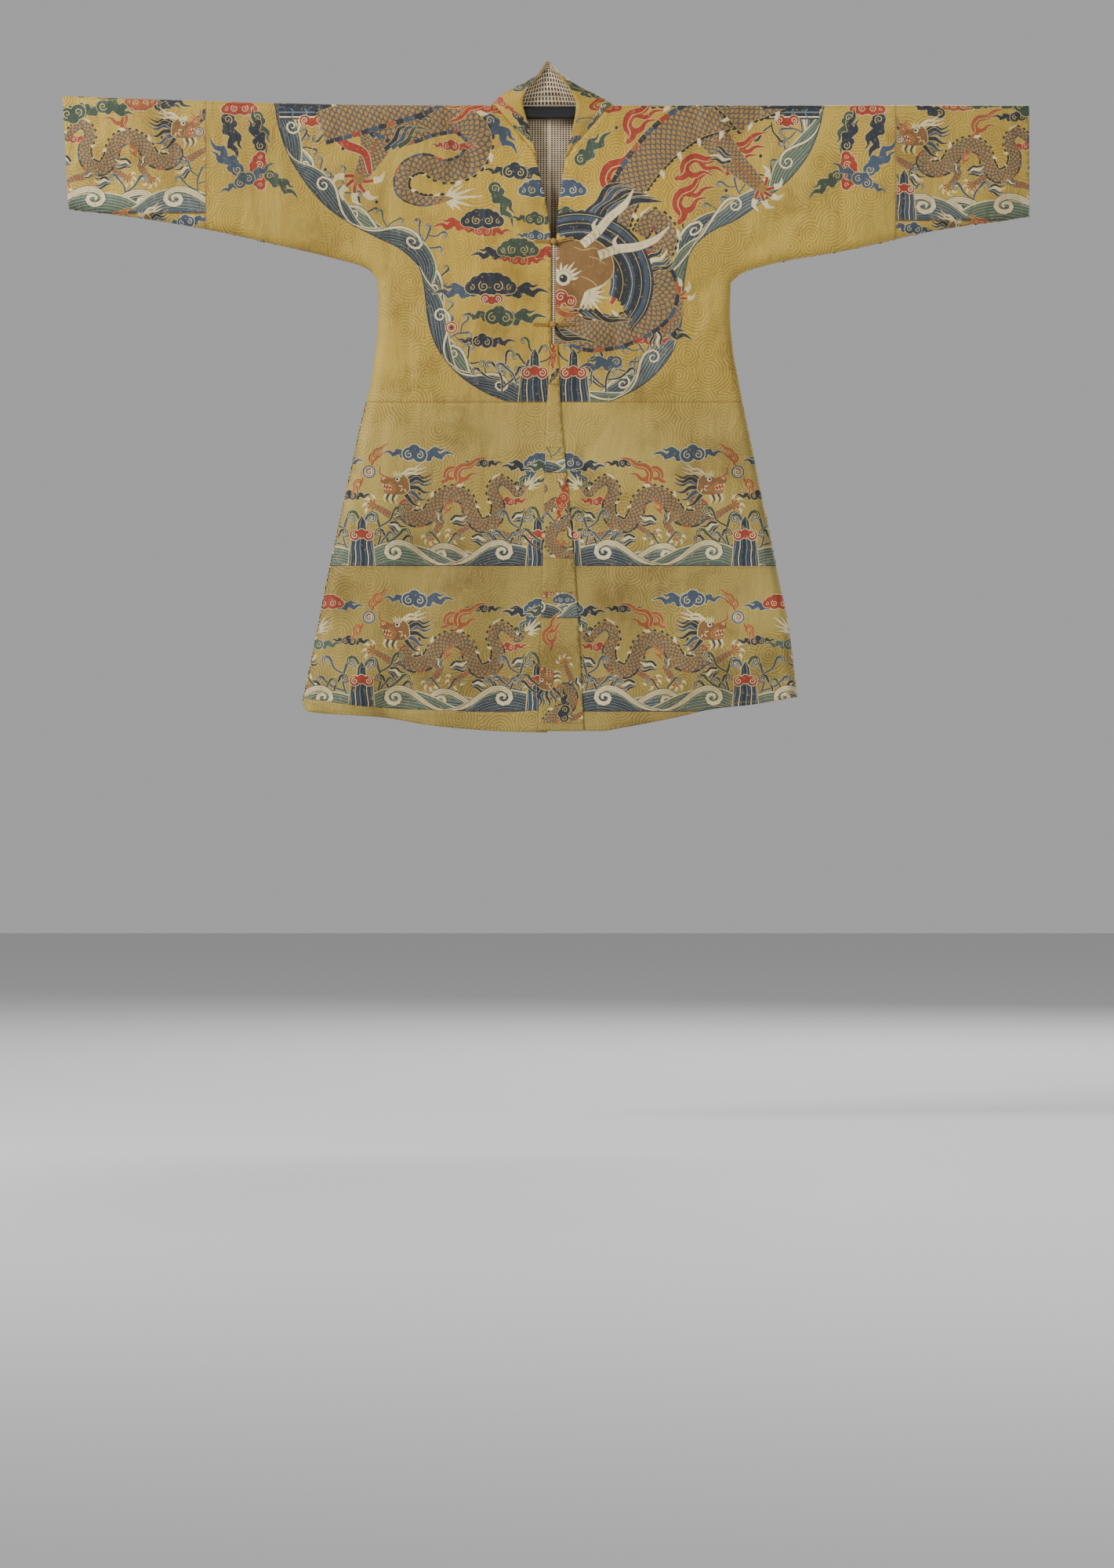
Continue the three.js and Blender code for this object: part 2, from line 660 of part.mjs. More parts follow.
// A doubled cord from beside the knot out to "reach" and back, lying on the front.
function frogCord(frog, reach, lift) {
  const out = CORD.radius + SEAM;
  const start = frog.x + Math.sign(reach) * (KNOT_RADIUS + 2.2);
  const place = (x, dz) => {
    const t = (x - start) / (reach - start);
    return offCloth(x, frog.z + lift * t + dz, -1, out + 2.5 * (1 - t) ** 3);
  };
  const half = CORD.apart / 2;
  const xs = spread(start, reach, 4);
  const there = xs.map((x) => place(x, half));
  const turn = place(reach + Math.sign(reach) * half, 0);
  const back = [...xs].reverse().map((x) => place(x, -half));
  const route = new THREE.CatmullRomCurve3([...there, turn, ...back]);
  const section = new THREE.Shape();
  section.absarc(0, 0, CORD.radius, 0, 2 * Math.PI);
  return new THREE.ExtrudeGeometry(section, {
    extrudePath: route,
    steps: CORD.steps,
    curveSegments: CORD.sides / 2,
  });
}

function rod() {
  return new THREE.CylinderGeometry(ROD.radius, ROD.radius, ROD.length, ROD.sides).rotateZ(Math.PI / 2);
}

// ---- The object ----
const chuba = new THREE.Group();

function addPiece(name, geometry, material) {
  const mesh = new THREE.Mesh(geometry, material);
  mesh.name = name;
  chuba.add(mesh);
}

addPiece("rod", rod(), BLACK_METAL);
addPiece("bodice_right", bodiceHalf("left").wall(CLOTH), SILK);
addPiece("bodice_left", bodiceHalf("right").wall(CLOTH), SILK);
addPiece("cuff_right", cuff("left").wall(CLOTH), SILK);
addPiece("cuff_left", cuff("right").wall(CLOTH), SILK);
addPiece("skirt_front_right", skirt("left", -1, HEM.frontLeft, HEM_SEAM.frontLeft).wall(CLOTH), SILK);
addPiece("skirt_front_left", skirt("right", -1, HEM.frontRight).wall(CLOTH), SILK);
addPiece("skirt_back_right", skirt("left", 1, HEM.backLeft, HEM_SEAM.backLeft).wall(CLOTH), SILK);
addPiece("skirt_back_left", skirt("right", 1, HEM.backRight, HEM_SEAM.backRight).wall(CLOTH), SILK);
addPiece("hem_front_right", hemBand("left", -1, HEM.frontLeft, HEM_SEAM.frontLeft).wall(CLOTH), PLAIN_SILK);
addPiece("hem_back_right", hemBand("left", 1, HEM.backLeft, HEM_SEAM.backLeft).wall(CLOTH), PLAIN_SILK);
addPiece("hem_back_left", hemBand("right", 1, HEM.backRight, HEM_SEAM.backRight).wall(CLOTH), PLAIN_SILK);
addPiece("front_strip", frontStrip().wall(CLOTH), SILK);
addPiece("collar", collar().wall(CLOTH), SILK);
addPiece("collar_lining", collarLining().wall(LINING), COTTON);
addPiece("body_lining", bodyLining().wall(LINING), COTTON);
for (const [place, frog] of Object.entries(FROGS)) {
  addPiece(`knot_${place}`, knot(frog), GOLD_CORD);
  addPiece(`cord_${place}_right`, frogCord(frog, frog.left, 0), GOLD_CORD);
  addPiece(`cord_${place}_left`, frogCord(frog, frog.right, frog.tilt), GOLD_CORD);
}

export default chuba;
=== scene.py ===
# Looks of the chuba on its rod. Lengths in the tables are millimetres; Blender's objects are in metres.
# A place on the cloth is (x, h, side) as in the part: side -1 is the front, +1 the back, and h is the height with
# the curl over the rod rolled out. All panels lie on one flat sheet (x, v): v is h on the front, and past the fold
# over the rod it runs on down the back, so that v = 2 * top - h there.
import math

import bmesh
import bpy
import numpy as np
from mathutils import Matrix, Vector
from mathutils.geometry import delaunay_2d_cdt


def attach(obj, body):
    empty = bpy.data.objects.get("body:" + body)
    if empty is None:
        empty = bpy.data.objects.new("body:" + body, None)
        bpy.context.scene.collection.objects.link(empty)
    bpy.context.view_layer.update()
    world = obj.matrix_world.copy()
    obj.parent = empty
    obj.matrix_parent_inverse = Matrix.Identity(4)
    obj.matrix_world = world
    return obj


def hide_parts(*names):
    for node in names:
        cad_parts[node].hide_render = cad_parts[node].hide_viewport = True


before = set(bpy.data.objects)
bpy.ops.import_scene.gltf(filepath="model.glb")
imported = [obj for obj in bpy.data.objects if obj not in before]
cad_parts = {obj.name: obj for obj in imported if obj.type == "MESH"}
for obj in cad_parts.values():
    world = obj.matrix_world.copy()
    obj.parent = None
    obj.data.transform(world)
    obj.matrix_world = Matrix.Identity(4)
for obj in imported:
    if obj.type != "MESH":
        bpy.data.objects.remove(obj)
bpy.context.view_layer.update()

# ---- Sizes shared with the part ----
CLOTH = 1.8
SEAM = 0.3
RIDGE = 14.9
CREST = RIDGE * math.pi / 2
BACK_NECK_DROP = 5
BACK_NECK_CORNER = 0.88
EDGE_ROUND = 22
FLARE_TOP, FLARE_BOTTOM, FLARE_DEPTH = -200, -1180, 18
WAIST = -555
SLEEVE_SEAM = {"left": -664, "right": 654}
RISE_FROM, RISE_SPAN, RISE_HEIGHT, RISE_POWER = -300, 639, 17.7, 1.4
# (h, x) down the side seams, and (x, h) along the underarm seams
SIDE_SEAM = {
    "left": [(-320, -337), (-355, -334.5), (-409, -336), (-496, -346), (-621, -373), (-871, -427), (-1101, -473),
             (-1132, -480)],
    "right": [(-326, 339), (-382, 338), (-450, 343), (-504, 352.5), (-621, 376), (-871, 427), (-985, 450),
              (-1117, 467)],
}
UNDERARM = {
    "left": [(-337, -320), (-349, -303), (-365, -294), (-406, -282), (-540, -250), (-664, -223), (-796, -201),
             (-945, -182)],
    "right": [(339, -326), (356, -309), (373, -302), (433, -286), (567, -262), (734, -225), (909, -199)],
}
CUFF_END = {"left": [(43, -939), (-185, -927)], "right": [(26, 909), (-200, 909)]}
# (h, x) of each front's edge
FRONT_EDGE = {
    "left": [(CREST, -121), (-78, -36), (-159, -17), (-238, -5), (-444, -4.5), (-1190, -12)],
    "right": [(CREST, 118), (-84, 24), (-174, 9.5), (-234, 6), (-444, 3), (-1190, -1)],
}
# (u, h): u runs from the centre to the side seam
HEM = {
    ("left", -1): [(0, -1186), (0.2, -1183), (0.444, -1174), (0.692, -1156), (0.9, -1150), (0.98, -1145), (1, -1132)],
    ("right", -1): [(0, -1181), (0.2, -1183), (0.28, -1177), (0.54, -1153), (0.64, -1142), (0.84, -1131),
                    (1, -1117)],
    ("left", 1): [(0, -1166), (0.3, -1163), (0.54, -1158), (0.78, -1149), (0.94, -1142), (1, -1132)],
    ("right", 1): [(0, -1166), (0.19, -1156), (0.36, -1150), (0.64, -1139), (0.86, -1128), (1, -1117)],
}
HEM_SEAM = {
    ("left", -1): [(0, -1142), (0.2, -1147), (0.444, -1143), (0.692, -1138), (1, -1120)],
    ("left", 1): [(0, -1124), (0.5, -1129), (0.78, -1131), (1, -1121)],
    ("right", 1): [(0, -1124), (0.36, -1118), (0.64, -1114), (0.86, -1107), (1, -1098)],
}
# (h, left x, right x) of the band over the front opening
STRIP = [(-444, -4.5, 8), (-579, -13.5, 15), (-684, -16.5, 24), (-834, -19.5, 37.5), (-984, -24, 48),
         (-1183, -30, 58)]
# (x at the hem, half width, out)
FLUTES = {
    -1: [(-395, 42, 7), (-300, 36, -5), (-205, 48, 8), (-100, 34, -4), (110, 40, 6), (195, 36, -5), (285, 50, 8),
         (390, 40, 6)],
    1: [(-410, 38, 6), (-320, 40, -6), (-215, 48, 9), (-115, 36, -4), (-20, 44, 5), (85, 40, -5), (180, 46, 8),
        (275, 40, -6), (370, 44, 8)],
}
FAN_TOP, FAN_NARROW = -520, 0.72
# (x, h, to x, to h, width, out)
CREASES = {
    -1: [(-330, -300, -230, -400, 13, -4), (-335, -345, -262, -440, 15, 3), (-345, -270, -440, -215, 12, -3),
         (334, -300, 240, -385, 13, -4), (336, -350, 270, -450, 15, 3), (350, -275, 450, -225, 12, -3),
         (-118, 6, -42, -100, 14, -3), (-92, -140, -50, -200, 12, -3), (112, 0, 52, -96, 14, -3),
         (-62, -615, -22, -760, 14, -4), (46, -650, 84, -690, 13, -3)],
    1: [(-332, -305, -225, -410, 14, -4), (332, -305, 228, -405, 14, -4), (-348, -270, -450, -212, 12, -3),
        (350, -275, 455, -222, 12, -3)],
}
# (seam place: "h" on a front or "x" on the back, crease point, free edge point)
COLLAR = [
    ("h", -78, (-35.2, -17, -79), (-33.6, -17, -80)),
    ("h", -47, (-54, -18, -45), (-44, -17.6, -44)),
    ("h", -12, (-72, -18.6, -9), (-52, -18.2, -10)),
    ("h", 0, (-80, -18.4, 2), (-55.5, -18, 2)),
    ("h", 11, (-88, -17.6, 13), (-58.5, -17.6, 13)),
    ("h", CREST, (-97, -4, 33.5), (-57.5, -16.5, 28)),
    ("x", -106.5, (-79, 2, 47), (-50, -15, 46)),
    ("x", -82, (-54, 3.4, 60), (-35, -13, 62.5)),
    ("x", -52, (-33.5, 4, 71), (-25, -9, 74)),
    ("x", -28, (-22.5, 4, 85), (-18.5, -4.5, 87)),
    ("x", -12, (-16, 3.6, 94), (-14.5, -1, 98)),
    ("x", 0, (-10, 3.6, 96), (-9.5, -0.5, 100)),
    ("x", 14, (-3, 3.6, 92), (-4.5, -3, 95)),
    ("x", 34, (10, 4, 79.5), (6, -8, 77)),
    ("x", 60, (34, 3.4, 62), (19, -12.5, 60)),
    ("x", 84, (60, 2.4, 46), (33, -15, 42)),
    ("x", 103.8, (82, 0, 35), (40, -16.5, 26)),
    ("h", CREST, (92, -5, 27.5), (43, -17.4, 15)),
    ("h", 12, (84, -16.6, 11), (42.5, -17.8, 3)),
    ("h", 0, (75, -18.4, -3), (41, -18.2, -8)),
    ("h", -22, (62, -18.6, -22), (38, -18.2, -24)),
    ("h", -52, (42, -18, -52), (32, -17.6, -52)),
    ("h", -83.5, (24, -17, -84.5), (22.6, -17, -86)),
]
COLLAR_GAP = 0.7
SHELL = 1.7  # thickness of a cloth shell, a little under its solid's
OUTWARD = {"left": -1, "right": 1}


# ---- Curves through the tables ----
def along(rows, straight=False):
    rows = sorted(rows)
    ks = np.array([r[0] for r in rows], float)
    vs = np.array([r[1] for r in rows], float)
    slope = np.diff(vs) / np.diff(ks)
    before = np.concatenate([slope[:1], slope])
    after = np.concatenate([slope, slope[-1:]])
    total = before + after
    tangent = np.where(before * after > 0, 2 * before * after / np.where(total == 0, 1, total), 0)

    def value(place):
        p = np.clip(place, ks[0], ks[-1])
        i = np.clip(np.searchsorted(ks, p, side="right") - 1, 0, len(ks) - 2)
        width = ks[i + 1] - ks[i]
        t = (p - ks[i]) / width
        s = 1 - t
        if straight:
            return vs[i] * s + vs[i + 1] * t
        ends = vs[i] * s * s * (1 + 2 * t) + vs[i + 1] * t * t * (1 + 2 * s)
        return ends + width * t * s * (tangent[i] * s - tangent[i + 1] * t)

    return value


side_seam = {k: along(v) for k, v in SIDE_SEAM.items()}
underarm = {k: along(v) for k, v in UNDERARM.items()}
cuff_end = {k: along(v) for k, v in CUFF_END.items()}
front_edge = {k: along(v, straight=True) for k, v in FRONT_EDGE.items()}
hem = {k: along(v) for k, v in HEM.items()}
hem_seam = {k: along(v) for k, v in HEM_SEAM.items()}
strip_left = along([(r[0], r[1]) for r in STRIP])
strip_right = along([(r[0], r[2]) for r in STRIP])


def smooth(t):
    t = np.clip(t, 0, 1)
    return t * t * (3 - 2 * t)


def catmull(points, t):
    """A place on a centripetal Catmull-Rom curve, at share t of its points' count."""
    pts = [np.array(p, float) for p in points]
    last = len(pts) - 1
    i = min(int(t * last), last - 1)
    w = t * last - i
    p1, p2 = pts[i], pts[i + 1]
    p0 = pts[i - 1] if i > 0 else 2 * pts[0] - pts[1]
    p3 = pts[i + 2] if i + 2 <= last else 2 * pts[last] - pts[last - 1]
    d = [max(np.sum((b - a) ** 2) ** 0.25, 1e-4) for a, b in ((p0, p1), (p1, p2), (p2, p3))]
    t1 = ((p1 - p0) / d[0] - (p2 - p0) / (d[0] + d[1]) + (p2 - p1) / d[1]) * d[1]
    t2 = ((p2 - p1) / d[1] - (p3 - p1) / (d[1] + d[2]) + (p3 - p2) / d[2]) * d[1]
    a = 2 * p1 - 2 * p2 + t1 + t2
    b = -3 * p1 + 3 * p2 - 2 * t1 - t2
    return ((a * w + b) * w + t1) * w + p1


# ---- The cloth's surface ----
def rise(x):
    return RISE_HEIGHT * (np.maximum(0, RISE_FROM - x) / RISE_SPAN) ** RISE_POWER


def closing_seam(half):
    arm_end = UNDERARM[half][-1][0]
    pit_x, pit_h = UNDERARM[half][0]
    xs = np.linspace(arm_end, pit_x, 41)
    hs = np.linspace(pit_h, SIDE_SEAM[half][-1][0], 41)[1:]
    arm = np.stack([xs, underarm[half](xs)], 1)
    side = np.stack([side_seam[half](hs), hs], 1)
    return np.concatenate([arm, side])


CLOSING = {half: closing_seam(half) for half in OUTWARD}


def seam_distance(x, h):
    out = np.full(np.shape(x), 1e9)
    for half, sign in OUTWARD.items():
        mask = (x * sign > 0) | ((x == 0) & (sign > 0))
        px, ph = x[mask][:, None], h[mask][:, None]
        a, b = CLOSING[half][:-1], CLOSING[half][1:]
        dx, dh = (b - a).T
        t = np.clip(((px - a[:, 0]) * dx + (ph - a[:, 1]) * dh) / (dx * dx + dh * dh), 0, 1)
        out[mask] = np.hypot(px - a[:, 0] - dx * t, ph - a[:, 1] - dh * t).min(axis=1)
    return out


def half_depth(x, h, side):
    """How far the outer face stands from the garment's mid plane, for one side."""
    down = np.clip((FAN_TOP - h) / (FAN_TOP - FLARE_BOTTOM), 0, 1)
    fan = FAN_NARROW + (1 - FAN_NARROW) * down
    full = RIDGE + FLARE_DEPTH * smooth((FLARE_TOP - h) / (FLARE_TOP - FLARE_BOTTOM))
    for fx, width, out in FLUTES[side]:
        full = full + out * np.exp(-(((x - fx * fan) / width) ** 2)) * smooth(down)
    for cx, ch, tx, th, width, out in CREASES[side]:
        dx, dh = tx - cx, th - ch
        length = math.hypot(dx, dh)
        t = ((x - cx) * dx + (h - ch) * dh) / length**2
        off = ((x - cx) * dh - (h - ch) * dx) / length / width
        full = full + out * smooth(t / 0.4) * smooth((1 - t) / 0.4) * np.exp(-off * off)
    # a shallow unevenness that hanging cloth always has
    calm = smooth(-h / 60)
    full = full + calm * 0.45 * (
        np.sin(x / 31 + 0.6 * np.sin(h / 47)) * np.sin(h / 83 + side) + 0.7 * np.sin(h / 19 + x / 67 + 2 * side)
    )
    near = 1 - np.clip(seam_distance(x, h) / EDGE_ROUND, 0, 1)
    return SEAM / 2 + (full - SEAM / 2) * np.sqrt(np.maximum(0, 1 - near * near))


def on_cloth(flat):
    """Positions, in millimetres, of places (x, v) on the flat sheet."""
    x, v = flat[:, 0], flat[:, 1]
    top = CREST + rise(x)
    side = np.where(v > top, 1, -1)
    h = np.where(side > 0, 2 * top - v, v)
    y = np.where(side > 0, half_depth(x, h, 1), -half_depth(x, h, -1))
    angle = np.clip((top - h) / RIDGE, 0, math.pi / 2)
    curl = top - h < CREST
    y = np.where(curl, side * RIDGE * np.sin(angle), y)
    z = np.where(curl, top - CREST + RIDGE * np.cos(angle), h)
    return np.stack([x, y, z], 1)


def collar_rows():
    """Points of the collar's outer face: rows of ribs, from neck seam to free edge."""
    last = len(COLLAR) - 1
    rows = []
    for place in np.linspace(0, last, last * 4 + 1):
        i = min(last - 1, int(place))
        t = place - i
        crease = catmull([r[2] for r in COLLAR], place / last)
        edge = catmull([r[3] for r in COLLAR], place / last)
        (kind, at, c0, _), (kind2, at2, c1, _) = COLLAR[i], COLLAR[i + 1]
        half = "left" if c0[0] + c1[0] < 0 else "right"
        sign = OUTWARD[half]
        shoulder = FRONT_EDGE[half][0][1]
        if "x" in (kind, kind2):
            ends = [value if k == "x" else shoulder for k, value in ((kind, at), (kind2, at2))]
            x = ends[0] + (ends[1] - ends[0]) * t
            drop = BACK_NECK_DROP * min(1, max(0, (1 - abs(x / shoulder)) / (1 - BACK_NECK_CORNER)))
            base = on_cloth(np.array([[x, CREST + drop]]))[0]
            base = base + (-x / abs(shoulder) * 2 * COLLAR_GAP, -COLLAR_GAP, COLLAR_GAP)
        else:
            h = at + (at2 - at) * t
            lift = min(1, max(0, h / CREST))
            x = front_edge[half](h) - sign * COLLAR_GAP * (1 + lift)
            base = on_cloth(np.array([[x, h]]))[0] + (0, 0, COLLAR_GAP * lift)
        rows.append([catmull([base, crease, edge], s) for s in np.linspace(0, 1, 17)])
    return np.array(rows)


# ---- Colours, as seen in even light ----
def srgb(r, g, b):
    return [(c / 255 / 12.92 if c <= 10 else ((c / 255 + 0.055) / 1.055) ** 2.4) for c in (r, g, b)]


INK = {
    "navy": srgb(38, 43, 52),
    "blue": srgb(60, 74, 92),
    "sky": srgb(98, 114, 124),
    "teal": srgb(66, 86, 78),
    "green": srgb(56, 72, 58),
    "olive": srgb(122, 122, 76),
    "pale": srgb(142, 146, 108),
    "red": srgb(150, 52, 30),
    "orange": srgb(152, 80, 40),
    "cream": srgb(214, 202, 160),
    "straw": srgb(192, 170, 104),
    "tan": srgb(142, 110, 54),
    "brown": srgb(124, 90, 48),
    "black": srgb(38, 36, 32),
    "thread": srgb(112, 86, 42),
}


# ---- Drawing: shapes are closed polygons in millimetres with a colour, painted in order ----
# A shape may carry a field: a line that its scales or stripes follow, which the material draws.
def curve(points, step=4.5):
    """A smooth line through the points, as an array."""
    pts = np.array(points, float)
    length = np.hypot(*np.diff(pts, axis=0).T).sum()
    count = max(len(pts) * 3 // 2 + 1, int(length / step))
    return np.array([catmull(pts, t) for t in np.linspace(0, 1, count)])


def unit(degrees):
    return math.cos(math.radians(degrees)), math.sin(math.radians(degrees))


def normals_of(path):
    d = np.gradient(path, axis=0)
    d /= np.maximum(np.hypot(d[:, 0], d[:, 1]), 1e-9)[:, None]
    return np.stack([-d[:, 1], d[:, 0]], 1)


def lengths_of(path):
    return np.concatenate([[0], np.cumsum(np.hypot(*np.diff(path, axis=0).T))])


def beside(path, normals, s, u, off):
    """The places u along a path and off to its side. s: the lengths along it."""
    return np.stack([np.interp(u, s, path[:, k]) + np.interp(u, s, normals[:, k]) * off for k in (0, 1)], -1)


def taper(count, *widths):
    return np.interp(np.linspace(0, len(widths) - 1, count), range(len(widths)), widths)


def ribbon(path, widths):
    n = normals_of(path) * (taper(len(path), *widths) / 2)[:, None]
    return np.concatenate([path + n, (path - n)[::-1]])


def disc(x, y, r, count=12):
    a = np.linspace(0, 2 * math.pi, count, endpoint=False)
    return np.stack([x + r * np.cos(a), y + r * np.sin(a)], 1)


def spiral(x, y, r, turns=1.2, start=0.0, hand=1):
    a = np.linspace(0, 2 * math.pi * turns, int(8 * turns) + 2)
    rr = r * (1 - a / a[-1] * 0.85)
    return np.stack([x + rr * np.cos(start + hand * a), y + rr * np.sin(start + hand * a)], 1)


def nearest(points, path):
    """For each point: how far along the path its nearest place is, and its distance to the left of it."""
    a, b = path[:-1], path[1:]
    d = b - a
    size = np.maximum((d * d).sum(1), 1e-9)
    s = lengths_of(path)
    along_out, off_out = np.zeros(len(points)), np.zeros(len(points))
    for some in np.array_split(np.arange(len(points)), max(1, len(points) // 2000)):
        if not len(some):
            continue
        rel = points[some][:, None] - a
        t = np.clip((rel * d).sum(2) / size, 0, 1)
        gap = rel - t[..., None] * d
        far = (gap * gap).sum(2)
        k = far.argmin(1)
        row = np.arange(len(some))
        cross = d[k, 0] * gap[row, k, 1] - d[k, 1] * gap[row, k, 0]
        along_out[some] = s[k] + t[row, k] * (s[k + 1] - s[k])
        off_out[some] = np.sqrt(far[row, k]) * np.where(cross < 0, -1, 1)
    return along_out, off_out


class Drawing:
    def __init__(self):
        self.shapes = []

    def add(self, polygon, ink, field=None):
        self.shapes.append((np.asarray(polygon, float), ink, field))
        return self

    def line(self, points, widths, ink, edge=None, edge_width=1.8, step=4.5):
        path = curve(points, step)
        if edge:
            self.add(ribbon(path, [w + 2 * edge_width for w in widths]), edge)
        return self.add(ribbon(path, widths), ink)

    def curl(self, place, widths, ink):
        """A spiral line. place: x, y, radius, turns, start and hand, the last ones where they aren't usual."""
        return self.add(ribbon(spiral(*place), widths), ink)

    def place(self, other, x, y, scale=1.0, turn=0.0, flip=False):
        c, s = unit(turn)

        def put(points):
            p = points * (-scale if flip else scale, scale)
            return np.stack([x + c * p[:, 0] - s * p[:, 1], y + s * p[:, 0] + c * p[:, 1]], 1)

        for polygon, ink, field in other.shapes:
            if field:
                kind, path, size, hand = field
                field = (kind, put(path), size * scale, -hand if flip else hand)
            self.add(put(polygon), ink, field)
        return self

    def behind(self):
        """The same drawing, drawn as seen from behind, put on the flat sheet's back half."""
        out = Drawing()
        for polygon, ink, field in self.shapes:
            if field:
                kind, path, size, hand = field
                field = (kind, (0, 2 * CREST) - path, size, hand)
            out.add((0, 2 * CREST) - polygon, ink, field)
        return out


def lobes_of(d, lobes, ink, edge):
    """A scalloped body from overlapping rounds (x, y, r), with a light rim."""
    for grow, colour in ((1.2, edge), (0, ink)):
        for x, y, r in lobes:
            d.add(disc(x, y, r + grow, 14), colour)


def wisp(ink, edge="straw", prongs=2):
    """The streaming end of a cloud, from its curl at the origin towards +x."""
    d = Drawing()
    paths = [
        (((0, 2), (14, -3), (28, 5), (42, -3), (55, 5), (74, 1)), (16, 17, 15, 11, 7, 0.8)),
        (((22, 6), (33, 14), (43, 10), (54, 15)), (9, 8, 5, 0.8)),
    ][:prongs]
    bumps = ((9, 7, 7), (19, -7, 6.5), (33, 8, 5), (45, -6, 3.6))
    for grow, colour in ((1.8, edge), (0, ink)):
        for points, widths in paths:
            d.add(ribbon(curve(points, 4.5), [w + grow for w in widths]), colour)
        for x, y, r in bumps:
            d.add(disc(x, y, r + grow / 2), colour)
        d.add(disc(0, 0, 11.5 + grow / 2, 14), colour)
    d.curl((0, 0, 7.6, 1.35, 0.4, 1), (1.6, 1.4, 0.9), edge)
    return d


def ruyi(ink, edge="straw"):
    """A many-lobed cloud head, about 88 mm wide."""
    d = Drawing()
    lobes = [(-33, -3, 11), (33, -3, 11), (-24, 5, 12), (24, 5, 12), (-11, 10, 13), (11, 10, 13), (0, 11, 12),
             (-12, -5, 13), (12, -5, 13), (0, 0, 15), (-24, -6, 9), (24, -6, 9)]
    lobes_of(d, lobes, ink, edge)
    for x, hand in ((-12, 1), (12, -1)):
        d.curl((x, -1, 9.5, 1.5, math.pi / 2 + hand * 0.5, hand), (1.7, 1.5, 1.0), edge)
    for x, hand in ((-32, -1), (32, 1)):
        d.curl((x, -3, 5.5, 1.1, math.pi / 2, hand), (1.3, 1.1, 0.8), edge)
    return d


def scroll(ink, edge="straw", prongs=1):
    """A small cloud: two curls, and a streaming end each way."""
    d = Drawing()
    d.place(wisp(ink, edge, prongs), 9, 0, 0.8)
    d.place(wisp(ink, edge, 1), -9, 3, 0.6, 0, True)
    lobes_of(d, [(-9, 2, 11), (9, 0, 12), (0, 8, 10)], ink, edge)
    for x, y, hand in ((-9, 1, 1), (9, 0, -1)):
        d.curl((x, y, 7, 1.3, math.pi / 2, hand), (1.5, 1.3, 0.9), edge)
    return d


def cluster(head_ink, low_ink, left_ink, right_ink, edge="straw"):
    """A cloud head over a smaller one, with two streaming ends."""
    d = Drawing()
    if left_ink:
        d.place(wisp(left_ink, edge), -30, -8, 0.95, 6, True)
    if right_ink:
        d.place(wisp(right_ink, edge), 30, -8, 0.95, -4)
    if low_ink:
        d.place(scroll(low_ink, edge), 2, -24, 0.85)
    return d.place(ruyi(head_ink, edge), 0, 0)


def flame(ink="red", edge="straw", branches=3):
    """A licking flame from the origin up and to +x, about 90 mm long."""
    d = Drawing()
    paths = [
        (((0, 0), (12, 10), (8, 26), (18, 40), (38, 42), (54, 54), (76, 56)), (5, 15, 15, 15, 12, 7, 1)),
        (((9, 16), (26, 14), (38, 24), (54, 22)), (11, 9, 5, 1)),
        (((24, 40), (40, 30), (54, 36), (70, 32)), (8, 7, 5, 1)),
    ][:branches]
    for grow, colour in ((1.8, edge), (0, ink)):
        for points, widths in paths:
            d.add(ribbon(curve(points, 6), [w + grow for w in widths]), colour)
    d.add(ribbon(curve([(4, 6), (10, 14), (9, 26), (19, 38), (38, 40), (52, 51)], 5), [1, 1.5, 1.6, 1.5, 1.3, 0.8]),
          edge)
    return d


def pearl():
    d = Drawing()
    d.place(flame("orange"), 4, 12, 0.5, 25)
    d.place(flame("orange"), -12, -12, 0.5, 100, True)
    for r, ink in ((14.5, "straw"), (13.5, "blue"), (10.5, "cream"), (9, "sky"), (7, "cream")):
        d.add(disc(0, 0, r, 20), ink)
    d.curl((0, 0, 6.5, 1.2, 1.0), (3.2, 3.0, 2.0), "orange")
    return d


def spray(stems, ink="blue", edge="straw", size=8.5):
    """Branching spray that curls over at its tips. stems: (points, hand)."""
    d = Drawing()
    paths = []
    for points, hand in stems:
        x, y = points[-1]
        curl = spiral(x - hand * size, y, size, 0.95, 0 if hand > 0 else math.pi, hand)
        paths.append(np.concatenate([curve(points), curl]))
    for path in paths:
        d.add(ribbon(path, [3.6, 4.8, 6.6, 5.8]), edge)
    for path in paths:
        d.add(ribbon(path, [2.6, 3.6, 5.2, 4.2]), ink)
    for path in paths:
        d.add(ribbon(path[len(path) * 3 // 5:], [0.6, 1.0, 1.6]), "cream")
    return d


TREE = [([(0, 0), (4, 26), (-4, 50)], 1), ([(1, 8), (22, 18), (34, 30)], -1), ([(2, 22), (-18, 30), (-30, 44)], 1),
        ([(0, 36), (16, 48), (20, 62)], -1)]
BUSH = [([(0, 0), (-4, 18), (-14, 30)], 1), ([(0, 6), (14, 16), (22, 28)], -1)]
TWIG = [([(0, 0), (2, 16), (-4, 28)], 1)]


def sprig(size=1.0):
    """A red scrolled sprig."""
    d = Drawing()
    lobes_of(d, [(x * size, y * size, r * size) for x, y, r in ((-12, 0, 9), (12, 0, 9), (0, 3, 8))], "red", "cream")
    for x, hand in ((-12, 1), (12, -1)):
        d.curl((x * size, 0, 6.4 * size, 1.4, math.pi / 2, hand), (2.0, 1.7, 1.1), "cream")
    return d


